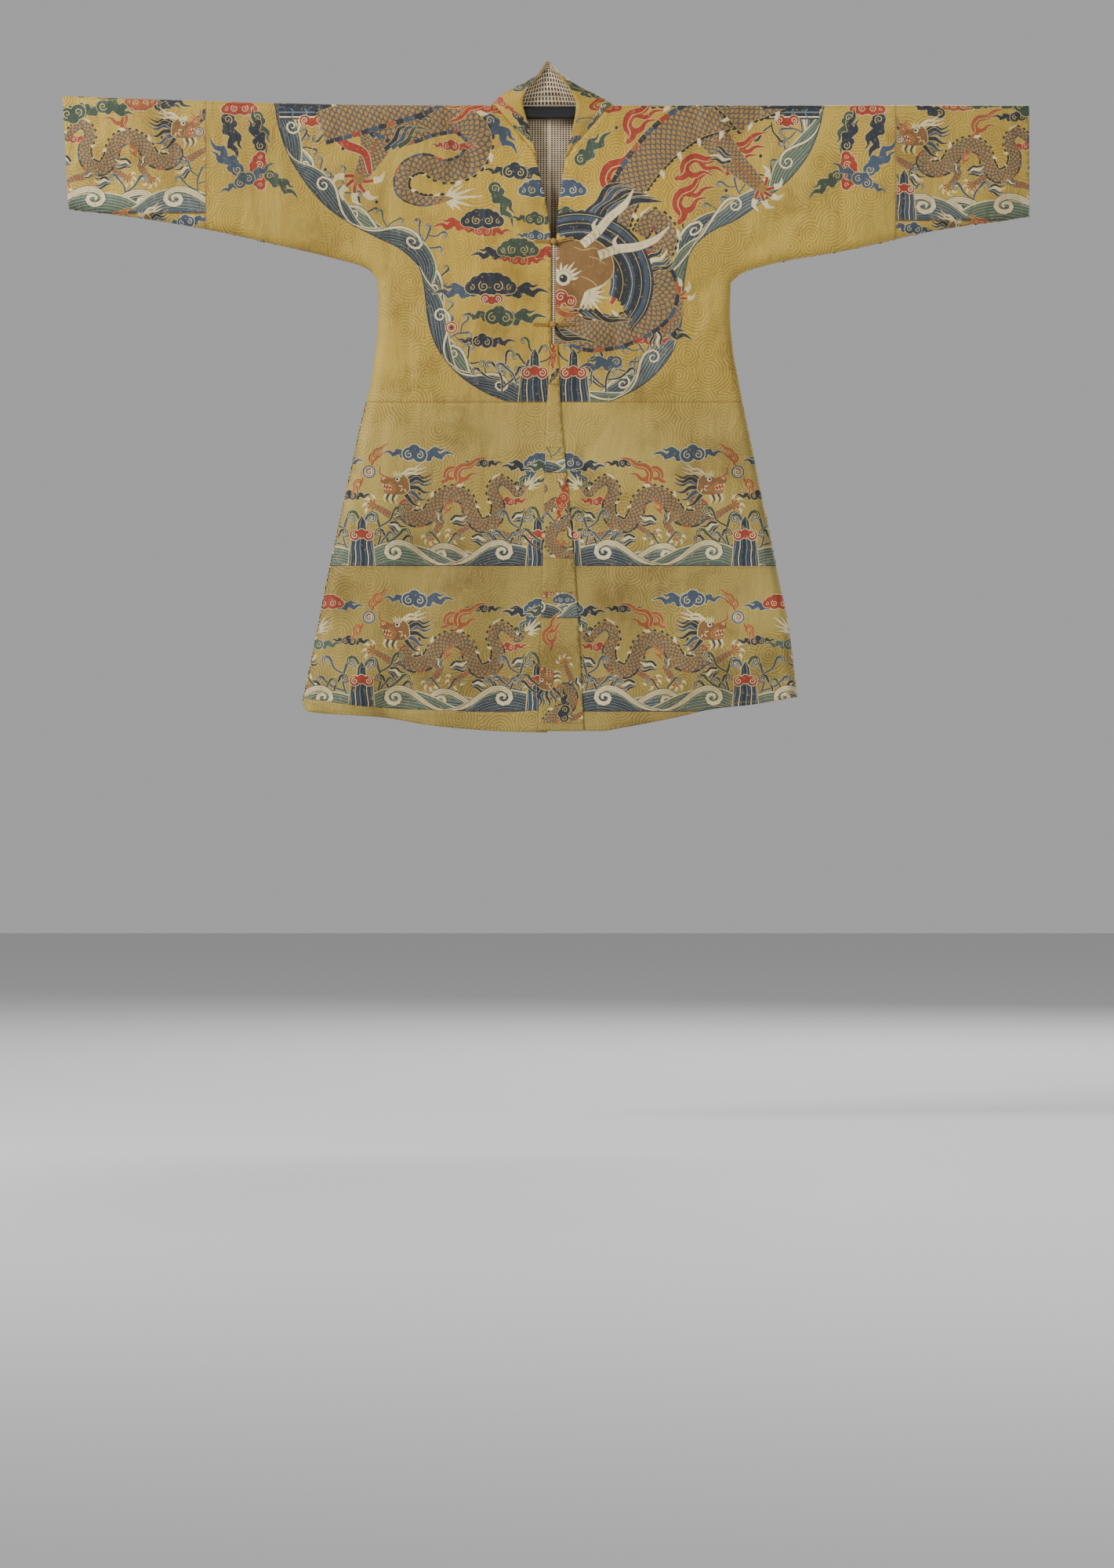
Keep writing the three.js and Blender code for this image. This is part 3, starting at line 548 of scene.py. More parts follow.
def rock(width, height):
    """A striped rock pillar with a spire and a red sprig at its shoulder."""
    d = Drawing()
    w = width / 2
    top = height * 0.58
    for grow, ink in ((2.0, "straw"), (0, "navy")):
        d.add([(-w - grow, 0), (-w * 0.8 - grow, top + grow), (w * 0.8 + grow, top + grow), (w + grow, 0)], ink)
        d.add([(-9 - grow, top), (-7 - grow, height - 12), (0, height + grow), (7 + grow, height - 12),
               (9 + grow, top)], ink)
    inks = ("sky", "blue", "cream", "blue", "sky", "navy", "blue", "cream", "blue", "sky")
    for k, ink in enumerate(inks):
        x = -w * 0.88 + k * (1.76 * w / (len(inks) - 1))
        wide = 2.6 if ink != "cream" else 1.8
        d.line([(x, 0), (x * 0.97 + 1.2, top * 0.3), (x * 0.9 - 1.2, top * 0.65), (x * 0.8, top - 2)], (wide, wide,
               wide, wide * 0.7), ink, step=14)
    d.line([(-3, top), (-3, height - 14), (0, height - 4)], (2.4, 2, 1), "sky")
    d.line([(4, top), (3, height - 16)], (2.4, 2), "blue")
    return d.place(sprig(min(1.2, width / 46)), 0, top + 3)


def swell(d, at, start, end, height, peak, ink, cream):
    """One swell: from start to end along a line, highest at the given share of its way."""
    reach = end - start
    rows = [(0, 0), (0.36 * peak, 0.2), (0.7 * peak, 0.78), (peak, 1), (peak + (1 - peak) * 0.42, 0.8),
            (peak + (1 - peak) * 0.78, 0.24), (1, 0)]
    crest = curve([(start + reach * a, height * b) for a, b in rows], 5)
    base = np.stack([np.linspace(end, start, 14), np.zeros(14)], 1)
    top = at(crest)
    d.add(np.concatenate([top, at(base[1:-1])]), ink, ("swell", top, cream, 1))
    for k in range(1, 7):
        lower = crest - (0, 5.6 * k + 1.5)
        lower = lower[lower[:, 1] > 1.5]
        if len(lower) > 3:
            d.add(at(ribbon(lower[::2] if len(lower) > 8 else lower, [0.7, 1.2, 1.2, 0.7])),
                  "sky" if ink == "navy" else "pale")


SURGE = [(-62, 2), (-47, 5), (-33, 13), (-18, 26), (-3, 36), (12, 38), (23, 31)]


def swells(d, path, spacing, height, cream=3.0, inks=("navy", "blue", "teal"), foam=4.0, first=0):
    """Overlapping swells along a path, standing on its left, each with a surge of foam that curls over."""
    s = lengths_of(path)
    n = normals_of(path)

    def at(points):
        return beside(path, n, s, np.clip(points[:, 0], 0, s[-1]), points[:, 1])

    count = max(2, round(s[-1] / spacing))
    gap = s[-1] / count
    size = np.array([gap / 64, height / 46])
    turn = foam * 0.34
    for layer in (1, 0):
        for k in range(layer, count, 2):
            hand = 1 if (k + first) % 4 < 2 else -1
            tall = height * (0.84 - 0.1 * layer + 0.06 * ((k * 7 + first) % 3 - 1))
            middle = (k + 0.5) * gap
            swell(d, at, middle - 1.5 * gap, middle + 1.5 * gap, tall * 0.94, 0.5 + 0.1 * hand,
                  inks[(k + first) % len(inks)], cream)
            crest = curve(SURGE, 4)
            curl = spiral(13, 24 - turn * 0.4, 10 + turn, 1.25, math.pi * 0.2, -1)
            line = np.concatenate([crest, curl[1:]]) * (hand, 1) * size * (1, 1 - 0.14 * layer) + (middle, 0)
            widths = [1, foam * 0.75, foam, foam * 1.15, foam * 1.15, foam, foam * 0.85, foam * 0.4]
            for grow, ink in ((2.2, "navy"), (0, "cream")):
                d.add(at(ribbon(line, [w + grow for w in widths])), ink)
            if foam > 4.5:
                for off in (-0.22, 0.22):
                    d.add(at(ribbon(line[2: len(crest)] + (0, foam * off), [0.6, 0.9, 0.9, 0.6])), "brown")
                d.add(at(ribbon(line[2: len(crest)] - (0, foam * 0.95), [0.8, 1.4, 1.4, 0.8])), "pale")
    d.add(ribbon(path + n * 0.8, [1.6, 1.6]), "navy")


def dragon_body(d, spine, widths, pitch, back=1, spikes=True, belly=True):
    """A scaled body along a line. back is the side, +1 left of the way the line runs, that carries the fins."""
    path = curve(spine, 3.5)
    s = lengths_of(path)
    n = normals_of(path) * back
    w = taper(len(path), *widths) / 2

    def at(u, t):
        """u along the body, t from -1 at the belly to +1 at the back"""
        return beside(path, n, s, u, np.interp(u, s, w) * t)

    fin = pitch * 0.82
    if spikes:
        for k, u in enumerate(np.arange(3.0, s[-1] - 4, fin)):
            half = float(np.interp(u, s, w))
            if k % 5 == 3:
                tip = at(u + fin * 0.9, 1 + (4 + half * 0.36) / half)
                d.add([at(u - fin * 0.4, 1), at(u - fin * 0.1, 1 + (3 + half * 0.2) / half), tip,
                       at(u + fin * 0.4, 1)], "cream")
            else:
                d.add(disc(*at(u, 1 + 1.2 / half), fin * 0.46, 7), "black")
    d.add(ribbon(path, [x + 1.2 for x in widths]), "straw")
    d.add(ribbon(path, widths), "tan", ("scales", path, pitch, back))
    if belly:
        inks = ("navy", "navy", "blue", "red", "navy", "blue", "navy", "orange", "navy", "blue")
        for k, u in enumerate(np.arange(0.0, s[-1] - pitch, pitch * 1.3)):
            ends = np.linspace(u, u + pitch * 1.16, 3)
            d.add(np.concatenate([at(ends, -1.06), at(ends[::-1], -0.8)]), inks[k % len(inks)])


def talons(d, x, y, turn, size=1.0):
    """A foot of five curved talons."""
    foot = Drawing()
    for a in (-80, -38, 4, 46, 105):
        c, s_ = unit(a)
        foot.line([(0, 0), (8 * c + 2 * s_, 8 * s_ - 2 * c), (17 * c, 17 * s_)], (6, 4, 3), "red", "straw", 0.8)
        foot.line([(16 * c, 16 * s_), (24 * c - 2 * s_, 24 * s_ + 2 * c), (27 * c - 11 * s_, 27 * s_ + 11 * c)],
                  (8, 6, 0.8), "cream")
    foot.add(disc(0, 0, 6), "tan")
    d.place(foot, x, y, size, turn)


def strands(d, x, y, turn, size=1.0):
    """A tuft of streaming hair."""
    hair = Drawing()
    for k, ink in enumerate(("navy", "blue", "cream", "navy")):
        lift = (k - 1.5) * 7
        hair.line([(0, lift * 0.3), (12, lift * 0.8 + 3), (24, lift - 2), (36, lift * 1.2 + 3)], (5, 5, 4, 0.8), ink,
                  "straw", 0.8, 5)
    d.place(hair, x, y, size, turn)


def leg(d, points, widths, turn, size=1.0, pitch=7):
    dragon_body(d, points, widths, pitch, spikes=False, belly=False)
    d.line(points, (1, 3, 3, 2), "orange")
    strands(d, points[1][0], points[1][1], turn + 200, size * 0.75)
    talons(d, points[-1][0], points[-1][1], turn, size)


def tail_end(d, x, y, turn, size=1.0):
    """The spiked white end of a tail."""
    t = Drawing()
    for a, far in ((-58, 22), (-40, 32), (-20, 44), (0, 58), (16, 48), (34, 36), (56, 24)):
        c, s_ = unit(a)
        t.add([(-3.4 * s_, 3.4 * c), (far * 0.6 * c - 2.4 * s_, far * 0.6 * s_ + 2.4 * c), (far * c, far * s_),
               (3.4 * s_, -3.4 * c)], "cream")
    t.line([(-6, 0), (0, 0), (12, 0)], (10, 9, 1), "tan")
    d.place(t, x, y, size, turn)


def small_head():
    """A dragon's head in profile, facing -x, its neck joint at the origin. About 70 mm long."""
    d = Drawing()
    manes = [
        ([(-4, 14), (12, 26), (28, 22), (46, 34)], "navy"), ([(0, 6), (18, 13), (32, 7), (50, 16)], "blue"),
        ([(2, -2), (18, 0), (34, -8), (48, -4)], "navy"), ([(0, -10), (14, -14), (28, -24), (42, -22)], "blue"),
        ([(-6, -16), (4, -26), (16, -36), (30, -38)], "navy"), ([(0, 10), (14, 20), (30, 14), (48, 25)], "navy"),
    ]
    for points, ink in manes:
        d.line(points, (9, 8, 5, 1), ink, "straw", 0.9)
    for dy in (0, 9):
        d.line([(-18, 18 + dy * 0.5), (-4, 28 + dy), (14, 29 + dy), (32, 38 + dy)], (7, 6, 4, 1), "cream", "brown", 0.7)
        d.line([(4, 29 + dy), (14, 37 + dy), (20, 46 + dy)], (4, 3, 0.8), "cream", "brown", 0.7)
    jaw = [(2, -8), (-4, 14), (-16, 22), (-28, 19), (-38, 13), (-50, 15), (-60, 10), (-62, 2), (-54, -2), (-42, -2),
           (-33, -8), (-40, -14), (-52, -14), (-50, -22), (-36, -25), (-20, -20), (-8, -18)]
    loop = curve(jaw + [jaw[0]], 4)[:-1]
    middle = loop.mean(axis=0)
    d.add(middle + (loop - middle) * 1.06, "straw")
    d.add(loop, "brown")
    d.add([(-56, -2), (-42, -4), (-32, -9), (-40, -13), (-50, -13)], "red")
    for x in (-54, -48, -42):
        d.add([(x - 2, -2), (x + 2, -2.5), (x, -8)], "cream")
        d.add([(x + 3, -13), (x + 7, -13), (x + 5, -8)], "cream")
    d.line([(-44, 2), (-34, -3), (-28, -9), (-36, -17), (-52, -18)], (3, 4, 4, 4, 1.2), "orange", "straw", 0.6)
    d.add(disc(-56, 9, 6.4), "orange")
    d.curl((-56, 9, 4, 1.1), (1.8, 1.4, 1), "cream")
    d.line([(-50, 14), (-40, 10), (-32, 5), (-20, 4)], (3, 3, 3, 1), "orange")
    for k in range(5):
        d.line([(-33 + 3.4 * k, 17), (-38 + 4.4 * k, 27 + k % 2 * 3)], (3.2, 0.9), "cream")
    d.add(disc(-26, 12, 6.8), "black")
    d.add(disc(-26, 12, 5.6), "cream")
    d.add(disc(-27, 12, 2.8), "black")
    for k in range(7):
        a = math.radians(140 + 32 * k)
        d.line([(-10, -3), (-10 + 12 * math.cos(a), -3 + 12 * math.sin(a))], (4.4, 1.2), "cream" if k % 2 else "orange")
    d.add(disc(-10, -3, 4), "brown")
    d.line([(-54, 14), (-66, 20), (-66, 32), (-76, 38)], (4, 3.4, 2.6, 0.8), "orange", "straw", 0.8)
    for k in range(5):
        d.line([(-46 + 6 * k, -22), (-49 + 6 * k, -32), (-43 + 6 * k, -41)], (4.4, 3.4, 0.8),
               "navy" if k % 2 else "cream", "straw", 0.5)
    return d


HEAD = small_head()


def running_dragon():
    """The dragon of the skirt bands, facing -x. Its origin is under its chest, and it is about 340 mm long."""
    d = Drawing()
    d.place(flame("orange", branches=2), 84, 50, 0.9, 4)
    leg(d, [(-6, -2), (-30, -8), (-52, 4), (-70, 14)], (19, 16, 13, 10), 165, 0.75)
    leg(d, [(136, -26), (118, -22), (100, -34), (86, -42)], (18, 15, 12, 9), -140, 0.68)
    spine = [(-6, 44), (8, 28), (-12, 6), (4, -12), (36, -6), (54, 20), (78, 36), (106, 26), (116, -4), (134, -26),
             (162, -16), (170, 14), (158, 42), (172, 62), (192, 50), (206, 34), (222, 48)]
    dragon_body(d, spine, (16, 21, 26, 29, 30, 30, 29, 28, 27, 26, 25, 23, 20, 17, 14, 10, 6), 9.5, 1)
    leg(d, [(42, -4), (58, -18), (50, -34), (40, -44)], (19, 16, 13, 10), -100, 0.7)
    leg(d, [(150, -30), (170, -40), (190, -44), (204, -54)], (18, 15, 12, 9), -50, 0.74)
    tail_end(d, 222, 48, 38, 0.8)
    d.place(flame("orange", branches=2), 66, -2, 0.42, 10)
    for x, y, turn in ((78, -18, 10), (118, -50, -8), (196, -14, 20), (-40, -22, -30)):
        strands(d, x, y, turn, 0.9)
    d.place(HEAD, -2, 50, 0.9, -8)
    return d


DRAGON = running_dragon()


def band_waves(d, left, right, rocks):
    """The foot of a band: spray, swells and rock pillars. rocks: (x, width, height, twin)."""
    base = np.array([(x, 0.0) for x in np.linspace(left, right, 60)])
    for x, _, _, _ in rocks:
        d.place(spray(TREE, "green"), x + 28, 30, 1.25, -6)
        d.place(spray(TREE, "blue"), x - 28, 30, 1.15, 6, True)
        d.place(spray(BUSH, "navy"), x + 52, 26, 1.1, -10)
        d.place(spray(BUSH, "navy"), x - 52, 26, 1.1, 10, True)
    for k, x in enumerate(np.arange(left + 50, right - 40, 118)):
        d.place(spray(BUSH, "blue" if k % 2 else "green"), x, 28, 1.0, 0, k % 2 == 1)
    swells(d, base, 84, 54, 2.6, ("teal", "navy", "teal", "blue", "navy"), 8.5)
    for x, width, height, twin in rocks:
        d.place(spray(TWIG, "green"), x - 3, height * 0.62, 1.3)
        d.place(spray(TWIG, "blue"), x + 3, height * 0.56, 1.3, 0, True)
        d.place(rock(width, height), x, 0)
        if twin:
            for side in (-1, 1):
                d.place(sprig(0.95), x + side * 16, height * 0.58)
    return d


CLOUD_RED = cluster("red", None, "navy", "blue", "cream")
CLOUD_BLUE = cluster("blue", None, "green", "navy", "cream")
CLOUD_TALL = Drawing().place(wisp("blue", "cream"), 22, -18, 1.0, -60).place(CLOUD_BLUE, 0, 0)


def band():
    """One band of the skirt's front: its left half, from the side seam to the middle, its lower edge at 0."""
    d = Drawing()
    put_all(d, (
        (scroll("blue", "cream", 2), -266, 212, 1.15), (CLOUD_TALL, -22, 198, 0.8, 0, True),
        (CLOUD_RED, -430, 208, 0.7), (scroll("navy"), -138, 196, 0.62),
        (scroll("green"), -52, 158, 0.66, 10), (scroll("red", "cream"), -88, 122, 0.62, 5),
        (scroll("navy"), -390, 134, 0.66), (scroll("teal"), -456, 128, 0.8),
        (pearl(), -352, 180, 0.92), (flame("orange", branches=2), -214, 160, 0.72, -10),
        (flame("orange", branches=2), -344, 200, 0.5, 10),
        (DRAGON, -274, 102), (DRAGON, -676, 106),
    ))
    return band_waves(d, -500, 14, ((-366, 50, 96, False), (-30, 44, 96, False)))


def back_band(facing, shift):
    """A whole band of the skirt's back, seen from behind. Both its dragons face the same way, -1 or 1."""
    d = Drawing()
    flip = facing > 0
    put_all(d, (
        (CLOUD_TALL, 0, 206, 0.9), (CLOUD_RED, -242 + shift, 208, 0.8),
        (CLOUD_RED, 238 + shift, 210, 0.8), (CLOUD_BLUE, -400, 206, 0.7),
        (CLOUD_BLUE, 396, 206, 0.7), (scroll("navy"), 100 * facing, 192, 0.8),
        (scroll("red", "cream"), 92 * facing, 128, 0.66), (scroll("navy"), -300 * facing, 134, 0.7),
    ))
    for middle in (-146 + shift, 186 + shift):
        d.place(DRAGON, middle + facing * 62, 102, 0.96, 0, flip)
        d.place(pearl(), middle + facing * 142, 170, 0.95, 0, flip)
    for x in (-470 + shift, 512 + shift):
        d.place(DRAGON, x, 102, 0.96, 0, flip)
    return band_waves(d, -500, 500, ((-316 + shift * 0.3, 48, 88, False), (0, 68, 96, True), (326 + shift * 0.3, 48,
                      88, False)))


def mirrored(drawing):
    return Drawing().place(drawing, 0, 0, 1.0, 0, True)


YOKE_FOOT, YOKE_FOOT_BACK = -570, -544
FRONT_BANDS, BACK_BANDS = (-868, -1146), (-850, -1126)  # the lower edge of each skirt band
# Outline of the cloud-collar shape on the chest and shoulders: (x, z) from the left sleeve round to the centre.
YOKE_FRONT = {
    "left": [(-535, 26), (-526, -28), (-508, -80), (-480, -128), (-440, -176), (-392, -212), (-338, -240),
             (-290, -264), (-256, -300), (-246, -350), (-240, -400), (-222, -452), (-180, -504), (-124, -540),
             (-60, -562), (-2, -570)],
    "right": [(519, 24), (510, -26), (490, -78), (452, -128), (402, -170), (350, -206), (300, -230), (266, -262),
              (252, -310), (248, -360), (244, -410), (226, -462), (184, -512), (128, -546), (70, -564), (0, -572)],
}
# The same behind, as seen from behind
YOKE_BACK = {
    "left": [(-523, 26), (-514, -40), (-498, -114), (-452, -176), (-400, -212), (-352, -230), (-290, -252),
             (-256, -298), (-248, -360), (-238, -420), (-200, -482), (-140, -514), (-64, -538), (-2, -544)],
    "right": [(522, 26), (512, -40), (500, -80), (464, -140), (406, -194), (346, -220), (282, -240), (248, -280),
              (238, -334), (236, -388), (218, -436), (178, -488), (112, -522), (52, -536), (2, -544)],
}


def yoke_border(d, outline, flip, first=0):
    path = curve(outline, 6)
    if flip:
        path = path[::-1]
    s = lengths_of(path)
    n = normals_of(path)
    for k, u in enumerate(np.arange(46, s[-1] - 50, 62)):
        i = int(np.searchsorted(s, u))
        x, y = path[i] + n[i] * 22
        turn = math.degrees(math.atan2(n[i][1], n[i][0])) - 90
        d.place(spray((TREE, BUSH, BUSH)[(k + first) % 3], ("blue", "navy", "teal")[k % 3]), x, y, 0.85, turn,
                k % 2 == 1)
    swells(d, path, 84, 50, 2.6, ("navy", "blue", "navy", "teal"), 4.4, first)


def shoulder_rocks(d, x, sign):
    """The rock bar that runs along a shoulder's fold, and its sprig."""
    for low, high, ink in ((-14, 40, "navy"), (-11, -8, "cream"), (-2, 1, "sky"), (8, 11, "blue")):
        d.add([(x, low), (x, high), (x + sign * 118, high), (x + sign * 112, low)], ink)
    for k in range(4):
        at = x + sign * (22 + 26 * k)
        d.line([(at, -12), (at + sign * 5, 0), (at - sign * 3, 12), (at + sign * 4, 24)], (2, 2.4, 2, 1.4), "sky")
    d.place(spray(BUSH, "navy"), x + sign * 92, -20, 1.0, 180, sign > 0)
    d.place(sprig(1.1), x + sign * 62, -16, 1.0, 180)


def great_head():
    """A dragon's face looking down and to -x, for the chest and back, its near eye at the origin."""
    d = Drawing()
    # mane: bands that sweep over the crown and down behind the cheek, parted by light lines
    inks = ("navy", "blue", "navy", "navy", "blue", "navy", "black", "navy", "blue")
    arcs = []
    for k in range(9):
        r = 126 - 8 * k
        arcs.append([(26 + r * 1.06 * math.cos(math.radians(a)), -8 + r * math.sin(math.radians(a)))
                     for a in (130 - 5 * k, 104, 80, 54, 28, 2, -22, -44 + 3 * k)])
    locks = [[(30 + 12 * k, 84 + 4 * k), (42 + 12 * k, 118 + 2 * k), (62 + 14 * k, 138 + k), (80 + 15 * k, 168 - 5 * k),
              (112 + 14 * k, 176 - 7 * k)] for k in range(6)]
    for points, ink in zip(locks, inks):
        d.line(points, (14, 13, 11, 8, 1), ink, "straw", 0.7)
    for a, b in ((134, 12), (132, -14), (120, -40)):
        d.line([(a - 8, b), (a + 12, b + 10), (a + 28, b + 2), (a + 46, b + 8)], (13, 11, 6, 1), "navy", "straw", 0.7)
    for points, ink in zip(arcs, inks):
        d.line(points, (9, 10, 10.5, 11, 11, 11, 10, 6), ink)
    for points in arcs[::2]:
        d.line(points, (0.8, 1, 1, 1, 1, 1, 1, 0.8), "straw", step=6)
    # far side of the face: eye, snout, jaws
    d.line([(-26, 34), (-50, 20), (-74, 22), (-104, 30)], (44, 38, 30, 18), "brown", "straw", 0.8)
    d.line([(-14, -40), (-40, -68), (-74, -82), (-112, -86)], (30, 30, 26, 8), "brown", "straw", 0.8)
    d.line([(-18, -34), (-46, -44), (-78, -50), (-108, -66)], (10, 15, 14, 3), "orange", "straw", 0.8)
    d.line([(-20, -16), (-50, -6), (-78, 0), (-98, 12)], (5, 7, 7, 3), "red", "straw", 0.8)
    for k in range(5):
        x, y = -104 + 15 * k, -70 + 4 * k
        d.add([(x - 3, y - 6), (x + 5, y - 5), (x - 3, y + 12)], "cream")
    for k in range(4):
        x, y = -98 + 13 * k, 16 - 5 * k
        d.add([(x - 4, y), (x + 4, y - 2), (x - 2, y - 14)], "cream")
    lobes_of(d, [(-104, 34, 15), (-88, 44, 12), (-118, 24, 11), (-92, 24, 11)], "red", "cream")
    for x, y, hand in ((-104, 34, 1), (-90, 40, -1), (-116, 26, 1)):
        d.curl((x, y, 7, 1.3, 0.8, hand), (1.8, 1.5, 1.0), "cream")
    d.line([(-100, 48), (-98, 66), (-82, 78), (-54, 72), (-20, 82)], (7, 6, 5, 4, 1), "red", "straw", 0.8)
    for k in range(5):
        d.line([(-118 - 2 * k, 12 + 9 * k), (-130 - k, 10 + 10 * k), (-142, 14 + 9 * k)], (5, 4, 0.8), "cream")
    for k in range(4):
        d.line([(-34 + 3 * k, -82), (-24 + 8 * k, -98 - 4 * k), (0 + 10 * k, -96 - 5 * k), (24 + 14 * k, -106
               - 5 * k)], (11, 9, 6, 1), ("navy", "blue", "navy", "black")[k], "straw", 0.7)
    face = [(-28, 58), (2, 72), (34, 68), (54, 70), (78, 54), (90, 28), (88, 4), (72, -10), (66, -34), (44, -52),
            (14, -54), (-12, -44), (-26, -14), (-32, 26)]
    loop = curve(face + [face[0]], 5)[:-1]
    middle = loop.mean(axis=0)
    d.add(middle + (loop - middle) * 1.03, "straw")
    d.add(loop, "brown")
    for points in ([(18, 58), (36, 52), (56, 56), (74, 44)], [(46, 40), (62, 36), (76, 26)],
                   [(30, 4), (46, -2), (60, -14), (58, -30)]):
        d.line(points, (0.9, 1.5, 0.9), "straw")
    # horns
    for rows in ([(34, 62), (60, 84), (84, 112), (112, 136), (128, 164)], [(64, 42), (98, 54), (132, 58), (168, 72),
                                                                            (194, 96)]):
        d.line(rows, (17, 16, 15, 12, 1.5), "cream", "brown", 0.7)
        d.line([rows[1], rows[2], rows[3]], (0.8, 0.9, 0.6), "straw")
        for k in range(4):
            c = catmull(rows, 0.04 + 0.07 * k)
            e = catmull(rows, 0.08 + 0.07 * k)
            n = np.array([-(e - c)[1], (e - c)[0]]) / np.hypot(*(e - c)) * 8
            d.line([c - n, c + (e - c) * 0.8, c + n], (1.0, 1.3, 1.0), "brown")
        x, y = rows[1]
        d.line([(x + 2, y - 2), (x - 6, y + 14), (x + 2, y + 26)], (9, 7, 0.8), "cream", "brown", 0.6)
    # eyes, each under a brow of white hairs
    for ex, ey, size in ((-38, 26, 0.92), (0, 0, 1.0)):
        for k in range(8):
            a = math.radians(158 - 22 * k)
            c, s_ = math.cos(a) * size, math.sin(a) * size
            far = 32 - k % 2 * 6
            d.line([(ex + 9 * c, ey + 9 * s_), (ex + 20 * c + 3 * s_, ey + 20 * s_ - 2 * c),
                    (ex + far * c + 9 * s_, ey + far * s_)], (7, 5, 0.8), "cream", "brown", 0.4)
        for r, ink in ((14.2, "brown"), (13.4, "cream"), (8, "sky"), (6.8, "black")):
            d.add(disc(ex - size, ey, r * size, 22), ink)
        d.add(disc(ex - 3.4, ey + 2.4, 1.8, 8), "cream")
    # cheek fan, nose curl and beard
    for k in range(8):
        a = math.radians(26 - 20 * k)
        c, s_ = math.cos(a), math.sin(a)
        far = 44 - k % 2 * 9
        d.line([(42, -26), (42 + far * 0.55 * c, -26 + far * 0.55 * s_ - 2), (42 + far * c, -26 + far * s_)],
               (8, 6, 0.8), "cream", "brown", 0.5)
    lobes_of(d, [(-6, -34, 13), (12, -42, 10), (-14, -48, 9)], "red", "cream")
    for x, y, r, hand in ((-6, -34, 9, 1), (12, -42, 6.6, -1)):
        d.curl((x, y, r, 1.4, 0.6, hand), (1.9, 1.6, 1.0), "cream")
    d.line([(-16, -52), (-4, -64), (14, -68), (30, -62)], (9, 10, 9, 3), "orange", "straw", 0.8)
    for k in range(4):
        d.line([(28 + 9 * k, -58), (44 + 12 * k, -68 - 3 * k), (60 + 14 * k, -62 - 5 * k), (78 + 16 * k, -70 - 2 * k)],
               (9, 8, 5, 1), ("navy", "blue", "navy", "black")[k], "straw", 0.7)
    return d


GREAT_HEAD = great_head()


def put_all(d, rows):
    """rows: (drawing, x, z), and where they aren't 1, 0 and False the size, turn and flip."""
    for row in rows:
        d.place(*row)


def lozenge(d, x, z):
    for r, ink in ((5.0, "straw"), (4.2, "navy")):
        d.add(disc(x, z, r, 4), ink)


def tail_part():
    """The hind part of the great dragon, over the shoulder on the viewer's left."""
    d = Drawing()
    leg(d, [(-352, 10), (-338, -50), (-352, -92), (-372, -128)], (86, 66, 42, 24), -110, 1.75, 11)
    d.line([(-392, 24), (-418, -14), (-402, -58), (-362, -78), (-350, -118)], (16, 22, 18, 14, 8), "red", "cream", 1.0)
    d.place(flame("red", "cream"), -396, -40, 0.5, 20)
    spine = [(-384, 44), (-346, 4), (-294, -32), (-234, -18), (-178, -14), (-144, -50), (-160, -96), (-208, -112),
             (-250, -96), (-286, -114), (-290, -150), (-254, -170), (-206, -166)]
    dragon_body(d, spine, (70, 68, 62, 58, 56, 52, 48, 42, 34, 29, 26, 20, 12), 13.5, 1)
    tail_end(d, -206, -166, 4, 1.3)
    for k in range(3):
        d.line([(-322 + 13 * k, -72 + 3 * k), (-304 + 13 * k, -54), (-292 + 14 * k, -30), (-258 + 12 * k, -36)],
               (9, 9, 6, 1), ("navy", "blue", "green")[k], "straw", 0.8)
    d.place(scroll("red", "cream"), -196, -66, 0.75)
    d.place(wisp("green"), -330, 8, 0.9, -10)
    d.place(scroll("navy"), -296, 2, 1.0, -14)
    for x, z in ((-402, -70), (-338, -172), (-436, -110), (-262, -206)):
        lozenge(d, x, z)
    return d


def fore_part():
    """The forepart and face of the great dragon, on the viewer's right."""
    d = Drawing()
    put_all(d, (
        (flame(), 96, -170, 1.5, 14), (flame(), 140, -60, 1.25, 16),
        (flame(), 238, -214, 1.3, 20), (flame(), 232, -128, 1.25, -18),
        (flame(), 330, -120, 1.2, 10),
    ))
    leg(d, [(300, -40), (340, -90), (372, -120), (398, -146)], (60, 46, 34, 22), -40, 1.5, 10.5)
    spine = [(452, 44), (392, 24), (330, 4), (262, -18), (206, -60), (160, -116), (128, -170), (110, -230)]
    dragon_body(d, spine, (62, 70, 72, 72, 70, 66, 62, 58), 13.5, 1)
    spine = [(166, -236), (190, -204), (216, -232), (200, -272), (160, -280)]
    dragon_body(d, spine, (30, 36, 38, 40, 40), 12, 1)
    leg(d, [(150, -392), (196, -418), (228, -396), (236, -352)], (40, 34, 28, 20), 70, 1.25, 9.5)
    spine = [(120, -320), (170, -290), (204, -318), (206, -366), (168, -402), (112, -424), (56, -426), (18, -396)]
    dragon_body(d, spine, (42, 52, 58, 60, 60, 60, 58, 50), 13, -1)
    leg(d, [(40, -420), (-20, -424), (-70, -410), (-110, -396)], (46, 38, 28, 20), 160, 1.25, 9.5)
    d.line([(110, -366), (134, -332), (164, -338), (170, -362), (140, -378)], (8, 13, 13, 11, 3), "red", "cream", 1.0)
    strands(d, 176, -300, 30, 1.5)
    d.place(GREAT_HEAD, 20, -318, 1.04)
    for x, z in ((396, -84), (330, -150), (120, -30)):
        lozenge(d, x, z)
    return d


TAIL_PART, FORE_PART = tail_part(), fore_part()


